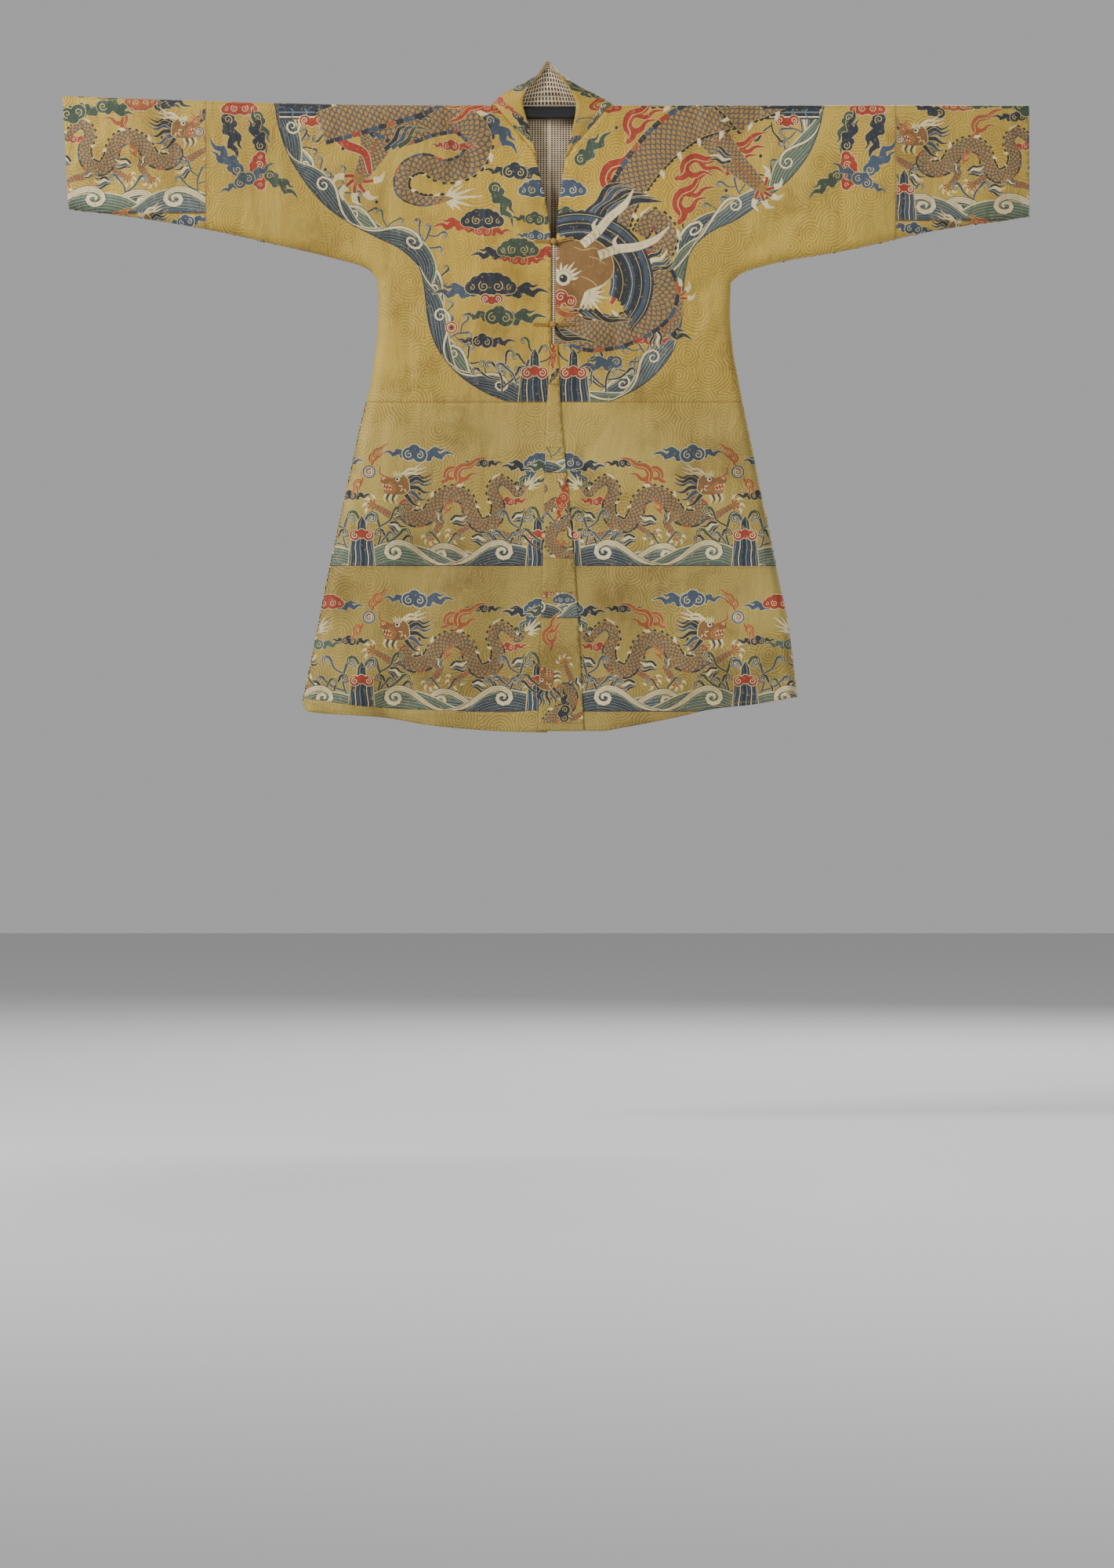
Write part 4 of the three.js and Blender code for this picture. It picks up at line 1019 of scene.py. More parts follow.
def middle_rocks(d, x, flip, z):
    """Spray to one side of the middle, at the foot of the collar shape, round where a rock pillar stands."""
    sign = -1 if flip else 1
    d.place(spray(TREE, "navy", "cream"), x - sign * 62, z + 34, 1.1, 12 * sign, flip)
    d.place(spray(TREE, "green"), x + sign * 4, z + 68, 1.0, -4, not flip)
    d.place(spray(BUSH, "blue", "cream"), x - sign * 34, z + 50, 1.2, 10, flip)


def front_left():
    """The front seen on the left: the wearer's right."""
    d = Drawing()
    yoke_border(d, YOKE_FRONT["left"], False)
    shoulder_rocks(d, -524, 1)
    middle_rocks(d, -36, False, YOKE_FOOT)
    d.place(rock(64, 118), -36, YOKE_FOOT)
    put_all(d, (
        (cluster("red", None, None, "red"), -136, 12, 0.75), (wisp("blue"), -122, -16, 1.15, -52),
        (scroll("navy"), -74, -116, 1.15), (ruyi("blue", "cream"), -30, -148, 0.85),
        (wisp("green"), -112, -146, 1.1, -66), (wisp("sky"), -132, -92, 0.8, 30, True),
        (cluster("navy", "red", "red", None), -136, -206, 0.95), (scroll("green"), -36, -206, 0.9),
        (scroll("blue", "cream"), -34, -238, 0.75),
        (cluster("green", "red", "navy", "red"), -68, -262, 0.92),
        (cluster("navy", None, "blue", "navy"), -120, -332, 1.12), (sprig(1.0), -118, -357, 1.0, 180),
        (scroll("green", prongs=2), -104, -394, 1.35), (scroll("navy"), -136, -440, 0.95),
        (TAIL_PART, 0, 0),
    ))
    for r, ink in ((12, "straw"), (11, "red"), (8.6, "cream"), (6.4, "orange"), (2.6, "black")):
        d.add(disc(-195, -412, r, 18), ink)
    return d


def front_right():
    """The front seen on the right: the wearer's left."""
    d = Drawing()
    yoke_border(d, YOKE_FRONT["right"], True, 3)
    shoulder_rocks(d, 508, -1)
    middle_rocks(d, 38, True, YOKE_FOOT)
    d.place(rock(64, 118), 38, YOKE_FOOT)
    put_all(d, (
        (cluster("red", None, None, "red"), 96, 12, 0.8, 0, True), (wisp("blue"), 52, -26, 1.0, 200),
        (wisp("green"), 52, -90, 1.1, 40), (ruyi("blue", "cream"), 26, -148, 0.85),
        (scroll("green"), 24, -196, 0.9), (wisp("navy"), 196, -412, 1.0, -20),
        (scroll("red", "cream"), 176, -436, 0.8), (wisp("blue"), 120, -478, 1.0, 10, True),
        (FORE_PART, 0, 0),
    ))
    return d


def cuff_art_of(rocks_first):
    """The patch on a sleeve's end: x from 0 at the cuff's edge to 275 at its seam, z as on the body."""
    d = Drawing()
    put_all(d, (
        (scroll("green"), 20, 34, 1.2, -8), (wisp("green"), 78, 22, 1.1),
        (ruyi("orange", "cream"), 150, 14, 0.72), (wisp("navy"), 186, -2, 0.9, 20),
        (scroll("navy"), 36, -10, 0.75), (scroll("red", "cream"), 16, -66, 0.6),
        (scroll("navy"), 264, -30, 0.6, 60),
    ))
    d.place(Drawing().place(DRAGON, 0, 0, 1.0, 0, True), 208, -98, 0.98)
    d.place(pearl(), 262, -52, 0.7, 0, True)
    base = np.array([(x, -206.0) for x in np.linspace(-8, 284, 40)])
    d.place(spray(TREE, "teal"), 262, -172, 0.95, 0, True)
    d.place(spray(BUSH, "blue"), 122, -174, 1.1)
    swells(d, base, 84, 54, 3.0, ("teal", "navy", "blue", "teal"), 9.5)
    if rocks_first:
        d.place(rock(44, 96), 254, -206)
    # under the waves, the edge of another length of the same cloth
    d.add([(-8, -206), (290, -206), (290, -209), (-8, -209)], "thread")
    put_all(d, ((scroll("blue", "cream"), 236, -224, 0.8, 10), (flame("orange"), 90, -232, 0.6),
                (Drawing().place(HEAD, 0, 0), 170, -224, 0.7)))
    return d


def sleeve_clouds():
    d = Drawing()
    put_all(d, (
        (wisp("navy"), -622, -14, 1.15, -80), (ruyi("red", "cream"), -600, 8, 0.8),
        (wisp("green"), -566, -10, 1.0, -78), (wisp("navy"), -560, -64, 1.0, 100),
        (ruyi("red", "cream"), -562, -112, 0.85, 90), (wisp("green"), -542, -122, 0.95, -40),
        (wisp("blue"), -604, -110, 1.1, 130), (scroll("blue"), -590, -132, 1.0, 30),
    ))
    return d


def back_chest():
    """As seen from behind."""
    d = Drawing()
    for k, (half, outline) in enumerate(YOKE_BACK.items()):
        yoke_border(d, outline, half == "right", k * 2 + 1)
    shoulder_rocks(d, -514, 1)
    shoulder_rocks(d, 512, -1)
    for x, flip in ((-40, False), (40, True)):
        middle_rocks(d, x, flip, YOKE_FOOT_BACK)
    d.place(rock(104, 112), 0, YOKE_FOOT_BACK)
    for x in (-26, 26):
        d.place(sprig(1.1), x, -482)
    put_all(d, (
        (wisp("green"), 12, -76, 1.0, 35), (wisp("navy"), -20, -84, 1.0, 6, True),
        (wisp("green"), -60, -30, 1.1, -60), (wisp("blue"), 46, -12, 0.9, 20),
        (ruyi("blue", "cream"), 0, -98, 0.95), (sprig(0.9), 0, -124, 0.9, 180),
        (scroll("green"), -4, -150), (wisp("green"), -88, -136, 1.1, 110),
        (cluster("navy", "blue", "red", None), -134, -166, 0.9), (scroll("green"), -150, -440, 0.8),
        (TAIL_PART, 0, 18), (FORE_PART, -8, 34), (pearl(), -174, -318, 1.6),
    ))
    return d


# ---- Mesh from a flat outline ----
SCALES, SWELL = 1.0, 2.0  # how a field's kind is written on the mesh
CROSSING_EPS, BORDER_EPS, RIM_EPS = 0.03, 1e-6, 1e-7  # how near two points count as one
OUTLINE_STEP = 6.0
INNER_COARSER = 1.6  # the inner face's grid step, as a share of the outer one's
SEAM_ROWS = (0.5, 1.6, 3.6, 6.6, 10.5, 15)  # distances from a closing seam
ROD_ROWS = 7  # rows of points on each side of the ridge
FIELD_MARK = 1000  # keeps shapes with fields apart from the numbers of the inks
INNER_UV, UV_GAP = 0.3, 0.02  # the inner face's size on the flat map, and its distance from the outer one
OFF_SEAM = (0, 9, 0)  # moves places so that outward_normals doesn't take them for a closing seam


def new_object(name, data):
    obj = bpy.data.objects.new(name, data)
    bpy.context.scene.collection.objects.link(obj)
    return obj


def resample(points, step):
    """Points along a closed outline, none further apart than step, corners kept."""
    out = []
    pts = [np.array(p, float) for p in points]
    for a, b in zip(pts, pts[1:] + pts[:1]):
        count = max(1, math.ceil(np.hypot(*(b - a)) / step))
        out += [a + (b - a) * k / count for k in range(count)]
    return np.array(out)


def winding(points, polygon):
    """Which of the points lie inside the polygon."""
    inside = np.zeros(len(points), bool)
    order = np.argsort(points[:, 1])
    a, b = polygon, np.roll(polygon, -1, axis=0)
    low, high = np.minimum(a[:, 1], b[:, 1]), np.maximum(a[:, 1], b[:, 1])
    for some in np.array_split(order, max(1, len(points) // 300)):
        if not len(some):
            continue
        x, y = points[some, 0][:, None], points[some, 1][:, None]
        use = (high >= y[0]) & (low <= y[-1])
        (x0, y0), (x1, y1) = a[use].T, b[use].T
        side = (x1 - x0) * (y - y0) - (x - x0) * (y1 - y0)
        up = (y0 <= y) & (y1 > y) & (side > 0)
        down = (y0 > y) & (y1 <= y) & (side < 0)
        inside[some] = (up.sum(1) - down.sum(1)) != 0
    return inside


def triangulate(points, edges, eps):
    """Triangles over points and the edges between them: places, triangles and each point's new index."""
    out = delaunay_2d_cdt([Vector((float(x), float(y))) for x, y in points], edges, [], 0, eps)
    where = np.full(len(points), -1)
    for new, olds in enumerate(out[3]):
        for old in olds:
            where[old] = new
    return np.array([(v.x, v.y) for v in out[0]]), np.array(out[2]), where


def ring(start, count):
    """The edges that join count points in a closed line."""
    return [(start + k, start + (k + 1) % count) for k in range(count)]


def inside_only(flat, tris, outline):
    """The triangles inside an outline, and their centres."""
    centres = flat[tris].mean(1)
    keep = winding(centres, outline)
    return tris[keep], centres[keep]


def grid_points(outline, step):
    lo, hi = outline.min(0), outline.max(0)
    xs = np.arange(lo[0] + step / 2, hi[0], step)
    ys = np.arange(lo[1] + step / 2, hi[1], step)
    gx, gy = np.meshgrid(xs, ys)
    gx = gx + (np.arange(len(ys)) % 2)[:, None] * step / 2
    pts = np.stack([gx.ravel(), gy.ravel()], 1)
    return pts[winding(pts, outline)]


def seam_points(outline):
    """Rows of points close to the closing seams, where the cloth rounds off."""
    rows = []
    for half, seam in CLOSING.items():
        path = resample(seam, 9)
        n = normals_of(path) * -OUTWARD[half]
        for q in SEAM_ROWS:
            inner = path + n * q
            rows.append(inner)
            rows.append(np.stack([inner[:, 0], 2 * (CREST + rise(inner[:, 0])) - inner[:, 1]], 1))
    pts = np.concatenate(rows)
    return pts[winding(pts, outline)]


def curl_points(outline):
    """Rows of points over the rod."""
    lo, hi = outline[:, 0].min(), outline[:, 0].max()
    xs = np.arange(lo + 1, hi, 9)
    rows = [np.stack([xs, CREST + rise(xs) + k * CREST / ROD_ROWS], 1)
            for k in range(-ROD_ROWS, ROD_ROWS + 1)]
    pts = np.concatenate(rows)
    return pts[winding(pts, outline)]


def outward_normals(place, flat, positions):
    e = 0.6
    du = place(flat + (e, 0)) - place(flat - (e, 0))
    dv = place(flat + (0, e)) - place(flat - (0, e))
    n = np.cross(du, dv)
    near_seam = (np.abs(positions[:, 1]) < SEAM) & (n[:, 2] < 0.5 * np.linalg.norm(n, axis=1))
    n[near_seam, 1] = 0
    return n / np.maximum(np.linalg.norm(n, axis=1), 1e-9)[:, None]


def face_loops(tris):
    """The edges round the triangles, as directed pairs."""
    directed = np.concatenate([tris[:, [0, 1]], tris[:, [1, 2]], tris[:, [2, 0]]]).astype(np.int64)
    count = directed.max() + 1
    forth = directed[:, 0] * count + directed[:, 1]
    back = directed[:, 1] * count + directed[:, 0]
    return [(int(a), int(b)) for a, b in directed[~np.isin(forth, back)]]


def edge_loop(tris):
    """The vertices round the triangles' edge in order, or None where that isn't one loop."""
    following = dict(face_loops(tris))
    start = at = next(iter(following))
    loop = []
    while True:
        loop.append(at)
        at = following[at]
        if at == start:
            return loop if len(loop) == len(following) else None


def owners(centres, shapes):
    """The number of the topmost shape over each place, or -1."""
    owner = np.full(len(centres), -1)
    by_x = np.argsort(centres[:, 0])
    sorted_x = centres[by_x, 0]
    for number, (polygon, _, _) in enumerate(shapes):
        a, b = polygon.min(0), polygon.max(0)
        near = by_x[np.searchsorted(sorted_x, a[0]): np.searchsorted(sorted_x, b[0])]
        near = near[(centres[near, 1] > a[1]) & (centres[near, 1] < b[1])]
        if len(near):
            owner[near[winding(centres[near], polygon)]] = number
    return owner


def borders(tris, kind, count):
    """The edges between triangles of unlike kind, and those round the whole."""
    edges = np.sort(np.concatenate([tris[:, [0, 1]], tris[:, [1, 2]], tris[:, [2, 0]]]), axis=1).astype(np.int64)
    key = edges[:, 0] * count + edges[:, 1]
    order = np.argsort(key, kind="stable")
    edges, key, kinds = edges[order], key[order], np.tile(kind, 3)[order]
    twin = key[1:] == key[:-1]
    before, after = np.insert(twin, 0, False), np.append(twin, False)
    return edges[(~before & ~after) | (after & (kinds != np.append(kinds[1:], -9)))]


def woven(flat, tris, owner, shapes):
    """What each shape's field gives at its triangles' corners: (along, across, kind)."""
    weave = np.zeros((len(tris), 3, 3))
    for number, (_, _, field) in enumerate(shapes):
        own = np.nonzero(owner == number)[0]
        if field is None or not len(own):
            continue
        kind, line, size, hand = field
        s, off = nearest(flat[tris[own]].reshape(-1, 2), line)
        if kind == "scales":
            values = (s / (size / 2), hand * off / size, np.full(len(s), SCALES))
        else:
            values = (np.full(len(s), size), np.abs(off), np.full(len(s), SWELL))
        weave[own] = np.stack(values, 1).reshape(-1, 3, 3)
    return weave


def picture(outline, drawings, points):
    """The outline filled with triangles that keep to the drawings' colours.

    Gives the outline as it came out, places, triangles, and each triangle's ink and fields.
    """
    lo, hi = outline.min(0) - 1, outline.max(0) + 1
    shapes = [shape for drawing in drawings for shape in drawing.shapes
              if (shape[0].max(0) > lo).all() and (shape[0].min(0) < hi).all()]
    loops = [outline] + [shape[0] for shape in shapes]
    starts = np.cumsum([0] + [len(loop) for loop in loops]).tolist()
    edges = [edge for start, loop in zip(starts, loops) for edge in ring(start, len(loop))]
    flat, tris, _ = triangulate(np.concatenate(loops + [points]), edges, CROSSING_EPS)
    tris, centres = inside_only(flat, tris, outline)
    names = list(INK)
    ink_of = np.array([names.index(ink) if ink else len(names) for _, ink, _ in shapes] + [len(names)])
    kind_of = np.array([k + FIELD_MARK if shape[2] else ink_of[k] for k, shape in enumerate(shapes)] + [len(names)])
    # again, with only the edges where two colours or fields meet
    outline = flat[edge_loop(tris)]
    edges = borders(tris, kind_of[owners(centres, shapes)], len(flat))
    used, edges = np.unique(edges, return_inverse=True)
    flat, tris, _ = triangulate(np.concatenate([flat[used], points]), edges.reshape(-1, 2).tolist(), BORDER_EPS)
    tris, centres = inside_only(flat, tris, outline)
    owner = owners(centres, shapes)
    weave = woven(flat, tris, owner, shapes)
    used, tris = np.unique(tris, return_inverse=True)
    return outline, flat[used], tris.reshape(-1, 3), ink_of[owner], weave


def set_values(mesh, name, kind, domain, key, values):
    mesh.attributes.new(name, kind, domain).data.foreach_set(key, values.ravel())


def shell(name, outline, place, drawings, ground, thickness=SHELL, step=10.0, extra=True, measure=None):
    """A closed thin shell: its outer face carries the drawings, its inner face the lining."""
    outline = resample(outline, OUTLINE_STEP)
    lo, hi = outline.min(0) - 1, outline.max(0) + 1
    points = [grid_points(outline, step)]
    if extra:
        points += [seam_points(outline), curl_points(outline)]
    outline, flat, tris, inks, weave = picture(outline, drawings, np.concatenate(points))
    outer = place(flat)
    rim, loop = face_loops(tris), edge_loop(tris)
    if loop is None:
        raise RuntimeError(f"{name}: its edge isn't one loop")
    inner_points = [grid_points(outline, step * INNER_COARSER)]
    if extra:
        inner_points += [seam_points(outline)[::2], curl_points(outline)[::2]]
    iflat, itris, where = triangulate(np.concatenate([flat[loop]] + inner_points), ring(0, len(loop)), RIM_EPS)
    itris, _ = inside_only(iflat, itris, flat[loop])
    ipos = place(iflat)
    inner = ipos - outward_normals(place, iflat, ipos) * thickness
    count = len(outer)
    faces = [tuple(t) for t in tris]
    faces += [tuple(int(v) + count for v in t[::-1]) for t in itris]
    index = {a: count + int(where[k]) for k, a in enumerate(loop)}
    faces += [(int(b), int(a), index[a], index[b]) for a, b in rim]
    mesh = bpy.data.meshes.new(name)
    mesh.from_pydata((np.concatenate([outer, inner]) * 0.001).tolist(), [], faces)
    obj = new_object(name, mesh)
    mesh.polygons.foreach_set("use_smooth", [True] * len(faces))
    slots = np.zeros(len(faces), int)
    slots[len(tris): len(tris) + len(itris)] = 1
    mesh.polygons.foreach_set("material_index", slots.tolist())

    # colour of each corner: alpha is 1 where the plain ground shows
    allflat = np.concatenate([flat, iflat])
    vert_of = np.zeros(len(mesh.loops), int)
    mesh.loops.foreach_get("vertex_index", vert_of)
    table = np.array([ink + [0.0] for ink in INK.values()] + [[0, 0, 0, 1.0]])
    corner = np.zeros((len(mesh.loops), 4))
    corner[:, 3] = 1
    corner[: len(tris) * 3] = np.repeat(table[inks], 3, axis=0)
    bare = corner[:, 3] > 0.5
    corner[bare, :3] = ground(allflat)[vert_of[bare]]
    fields = np.zeros((len(mesh.loops), 3))
    fields[: len(tris) * 3] = weave.reshape(-1, 3)
    sheet = np.zeros((len(allflat), 3))
    sheet[:, :2] = (measure(allflat) if measure else allflat) * 0.001
    set_values(mesh, "Weave", "FLOAT_VECTOR", "CORNER", "vector", fields)
    set_values(mesh, "Paint", "FLOAT_COLOR", "CORNER", "color", corner)
    set_values(mesh, "Flat", "FLOAT_VECTOR", "POINT", "vector", sheet)

    # one flat map: the outer face on the left, the inner face small on the right
    uvs = (allflat - lo) / (hi - lo).max()
    uvs[count:] = uvs[count:] * INNER_UV + (uvs[:count, 0].max() + UV_GAP, 0)
    uvs /= max(uvs.max(), 1e-6)
    layer = mesh.uv_layers.new(name="OFBake")
    layer.data.foreach_set("uv", (uvs[vert_of] * 0.98 + 0.01).ravel())
    mesh.validate()
    mesh.update()
    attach(obj, "root")
    return obj


# ---- Materials ----
class Graph:
    """A material's nodes. Each call takes values or sockets; an input's name has _ for a space."""

    def __init__(self, name):
        self.material = bpy.data.materials.new(name)
        self.material.use_nodes = True
        self.nodes, self.links = self.material.node_tree.nodes, self.material.node_tree.links

    def put(self, socket, value):
        if isinstance(value, bpy.types.NodeSocket):
            self.links.new(value, socket)
        elif socket.type == "RGBA":
            socket.default_value = (*value, 1.0)
        elif value is not None:
            socket.default_value = value

    def node(self, kind, **inputs):
        n = self.nodes.new(kind)
        for key, value in inputs.items():
            self.put(n.inputs[key.replace("_", " ")], value)
        return n

    def do(self, operation, *values, kind="ShaderNodeMath"):
        n = self.nodes.new(kind)
        n.operation = operation
        for socket, value in zip(n.inputs, values):
            self.put(socket, value)
        return n.outputs[0]

    def times(self, *values):
        out = values[0]
        for value in values[1:]:
            out = self.do("MULTIPLY", out, value)
        return out

    def mix(self, blend, factor, a, b):
        n = self.nodes.new("ShaderNodeMix")
        n.data_type, n.blend_type = "RGBA", blend
        for k, value in ((0, factor), (6, a), (7, b)):
            self.put(n.inputs[k], value)
        return n.outputs[2]

    def ramp(self, value, *stops):
        n = self.node("ShaderNodeValToRGB", Fac=value)
        while len(n.color_ramp.elements) < len(stops):
            n.color_ramp.elements.new(0.5)
        for element, (position, colour) in zip(n.color_ramp.elements, stops):
            element.position = position
            element.color = (*colour, 1)
        return n.outputs["Color"]

    def noise(self, where, output="Fac", **inputs):
        return self.node("ShaderNodeTexNoise", Vector=where, **inputs).outputs[output]

    def range(self, value, **inputs):
        return self.node("ShaderNodeMapRange", Value=value, **inputs).outputs["Result"]

    def bump(self, height, strength, distance, normal=None):
        return self.node("ShaderNodeBump", Strength=strength, Distance=distance, Height=height,
                         Normal=normal).outputs["Normal"]

    def attribute(self, name):
        n = self.nodes.new("ShaderNodeAttribute")
        n.attribute_name = name
        return n.outputs

    def place(self):
        return self.nodes.new("ShaderNodeTexCoord").outputs["Object"]

    def finish(self, **inputs):
        """Puts the last inputs on the shader."""
        for key, value in inputs.items():
            self.put(self.nodes["Principled BSDF"].inputs[key.replace("_", " ")], value)
        return self.material


def silk_material():
    g = Graph("silk")
    do, times, mix = g.do, g.times, g.mix
    paint = g.attribute("Paint")
    colour, bare = paint["Color"], paint["Alpha"]
    where = g.attribute("Flat")["Vector"]
    fx, fy, kind = g.node("ShaderNodeSeparateXYZ", Vector=g.attribute("Weave")["Vector"]).outputs
    is_scales, is_swell = do("COMPARE", kind, SCALES, 0.25), do("COMPARE", kind, SWELL, 0.25)
    # overlapping scales: rounds in rows, every other row half a step aside
    row = do("FLOOR", fx)
    within = do("SUBTRACT", fx, row)
    shift = times(do("FLOORED_MODULO", row, 2.0), 0.5)
    aside = do("SUBTRACT", do("FRACT", do("SUBTRACT", fy, shift)), 0.5)
    reach = do("SQRT", do("ADD", do("POWER", times(within, 0.5), 2.0), do("POWER", aside, 2.0)))
    scale_line = times(is_scales, do("LESS_THAN", do("ABSOLUTE", do("SUBTRACT", reach, 0.5)), 0.078))
    scale_glow = times(do("SUBTRACT", 0.34, reach), 2.2)
    scale_glow.node.use_clamp = True
    # swells: a light crest with fine lines, then a soft band, then stripes
    crest = times(is_swell, do("LESS_THAN", fy, fx))
    band_edge = do("LESS_THAN", fy, do("ADD", fx, 4.6))
    wave = do("SINE", times(fy, 2 * math.pi / 4.3))
    for share, ink in (
        (times(is_scales, scale_glow, 0.85), (188, 142, 78)),
        (times(scale_line, 0.95), (56, 68, 84)),
        (times(is_swell, do("GREATER_THAN", wave, 0.35), 0.3), (126, 132, 116)),
        (times(is_swell, band_edge, 0.5), (82, 104, 92)),
        (crest, (218, 206, 158)),
        (times(crest, do("GREATER_THAN", wave, 0.72), 0.6), (140, 116, 72)),
    ):
        colour = mix("MIX", share, colour, srgb(*ink))
    # scrolls woven in the ground: nested rings round scattered centres, stronger in some places
    warp = g.noise(where, "Color", Scale=16.0, Detail=1.0)
    cells = g.node("ShaderNodeTexVoronoi", Scale=17.0, Randomness=0.85)
    cells.voronoi_dimensions = "2D"
    g.put(cells.inputs["Vector"], do("MULTIPLY_ADD", warp, (0.014, 0.014, 0.0), where, kind="ShaderNodeVectorMath"))
    rings = do("MULTIPLY_ADD", do("SINE", times(cells.outputs["Distance"], 62.0)), 0.5, 0.5)
    rings = do("SMOOTH_MIN", times(rings, 1.5), 1.0, 0.2)
    strong = g.range(g.noise(where, Scale=5.0, Detail=2.0), From_Min=0.4, From_Max=0.58, To_Min=0.25, To_Max=1.0)
    damask = times(rings, bare, strong)
    base = mix("MULTIPLY", damask, colour, (0.7, 0.64, 0.5))
    # stains and fading
    worn = g.noise(where, Scale=7.0, Detail=7.0, Roughness=0.66)
    base = mix("MULTIPLY", 0.75, base, g.ramp(worn, (0.36, (0.62, 0.56, 0.42)), (0.48, (0.96, 0.95, 0.91)),
                                              (0.64, (1.12, 1.1, 1.06))))
    fade = g.noise(where, Scale=2.6, Detail=3.0)
    base = mix("MULTIPLY", 0.8, base, g.ramp(fade, (0.36, (0.74, 0.7, 0.62)), (0.64, (1.1, 1.1, 1.08))))
    # rubbed places, where the ground shows through the figure
    rub = g.noise(where, Scale=120.0, Detail=5.0, Roughness=0.7)
    base = mix("MIX", times(do("GREATER_THAN", rub, 0.61), 0.4), base, srgb(176, 144, 74))
    # threads
    split = g.node("ShaderNodeSeparateXYZ", Vector=where).outputs
    threads = do("ADD", do("SINE", times(split["X"], 9000.0)), do("SINE", times(split["Y"], 5200.0)))
    slub = g.noise(where, Scale=420.0, Detail=3.0)
    base = mix("MULTIPLY", 0.7, base, g.ramp(slub, (0.3, (0.76, 0.76, 0.76)), (0.7, (1.1, 1.1, 1.1))))
    # relief: soft rumples, longest up and down the cloth, then weave and stitches
    stretched = do("MULTIPLY", where, (1.0, 0.34, 1.0), kind="ShaderNodeVectorMath")
    rumple = g.noise(stretched, Scale=17.0, Detail=4.0, Roughness=0.5, Distortion=0.4)
    height = do("ADD", times(threads, 0.1), times(damask, 0.5))
    height = do("ADD", height, times(do("SUBTRACT", 1.0, bare), 0.8))
    height = do("SUBTRACT", height, times(scale_line, 0.7))
    height = do("ADD", height, times(is_swell, wave, 0.3))
    return g.finish(
        Base_Color=base, Normal=g.bump(height, 0.4, 0.0006, g.bump(rumple, 0.9, 0.013)),
        Roughness=g.range(worn, To_Min=0.46, To_Max=0.66), Sheen_Weight=0.15, Sheen_Roughness=0.4,
        Sheen_Tint=(1.0, 0.9, 0.66), Specular_IOR_Level=0.36,
    )


def lining_material():
    """Printed cotton: rows of small dark squares on a pale striped ground, and a plain line down the middle."""
    g = Graph("lining")
    do, times = g.do, g.times
    where = g.attribute("Flat")["Vector"]
    split = g.node("ShaderNodeSeparateXYZ", Vector=where).outputs
    across, down = 0.0054, 0.0042  # from one square to the next
    line_at, line_half = -0.008, 0.0028  # the plain line's middle and half width
    dots = do("GREATER_THAN", do("ABSOLUTE", do("ADD", split["X"], -line_at)), line_half)
    for value, pitch, half in ((split["X"], across, 0.3), (split["Y"], down, 0.34)):
        from_middle = do("ABSOLUTE", do("SUBTRACT", do("FRACT", times(value, 1 / pitch)), 0.5))
        dots = times(dots, do("LESS_THAN", from_middle, half))
    stripe = do("GREATER_THAN", do("SINE", times(split["X"], 2 * math.pi / across)), 0.35)
    soil = g.noise(where, Scale=26.0, Detail=5.0)
    cloth = g.ramp(soil, (0.3, srgb(184, 162, 126)), (0.7, srgb(222, 206, 172)))
    base = g.mix("MULTIPLY", times(stripe, 0.4), cloth, (0.6, 0.58, 0.55))
    base = g.mix("MIX", times(dots, 0.96), base, srgb(54, 34, 32))
    soft = g.bump(g.noise(where, Scale=24.0, Detail=3.0), 0.5, 0.005)
    fine = g.bump(g.noise(where, Scale=900.0, Detail=2.0), 0.3, 0.0003, soft)
    return g.finish(Base_Color=base, Normal=fine, Roughness=0.9, Sheen_Weight=0.1)


def cord_material():
    g = Graph("cord")
    fibre = g.noise(g.place(), Scale=1400.0, Detail=3.0)
    return g.finish(Base_Color=g.ramp(fibre, (0.35, srgb(112, 78, 30)), (0.65, srgb(190, 146, 66))),
                    Normal=g.bump(fibre, 0.5, 0.0004), Roughness=0.7)


def rod_material():
    g = Graph("rod")
    where = g.place()
    smudge = g.noise(where, Scale=30.0, Detail=5.0)
    peel = g.noise(where, Scale=700.0, Detail=1.0)
    return g.finish(Base_Color=g.ramp(smudge, (0, srgb(12, 13, 17)), (1, srgb(24, 25, 30))),
                    Normal=g.bump(peel, 0.08, 0.0002), Roughness=g.range(smudge, To_Min=0.3, To_Max=0.46))


silk, lining, cord = silk_material(), lining_material(), cord_material()


# ---- Ground colour of the silk, by place on the flat sheet ----
CHEST_YELLOW = np.array(srgb(188, 157, 60))
SLEEVE_YELLOW = np.array(srgb(184, 157, 68))
SKIRT_YELLOW = np.array(srgb(180, 159, 82))
CHEST_HEIGHT, CHEST_HALF = -150, (330, 420)  # the deeper yellow's middle, and its half width and half height
SKIRT_FROM, HEM_FROM, FADE = -470, -690, 160  # where the skirt's yellow and the hem's shade start, and their blend


def ground(flat):
    x, v = flat[:, 0], flat[:, 1]
    h = np.where(v > CREST, 2 * CREST - v, v)
    inside = np.clip(1 - np.hypot(x / CHEST_HALF[0], (h - CHEST_HEIGHT) / CHEST_HALF[1]), 0, 1)
    chest = smooth(inside * 2.2)[:, None]
    skirt = smooth((SKIRT_FROM - h) / FADE)[:, None]
    tone = SLEEVE_YELLOW * (1 - skirt) + SKIRT_YELLOW * skirt
    tone = tone * (1 - 0.2 * smooth((HEM_FROM - h) / FADE))[:, None]
    return tone * (1 - chest) + CHEST_YELLOW * chest


# ---- The pieces ----
def top_of(x):
    return float(CREST + rise(np.array([float(x)]))[0])


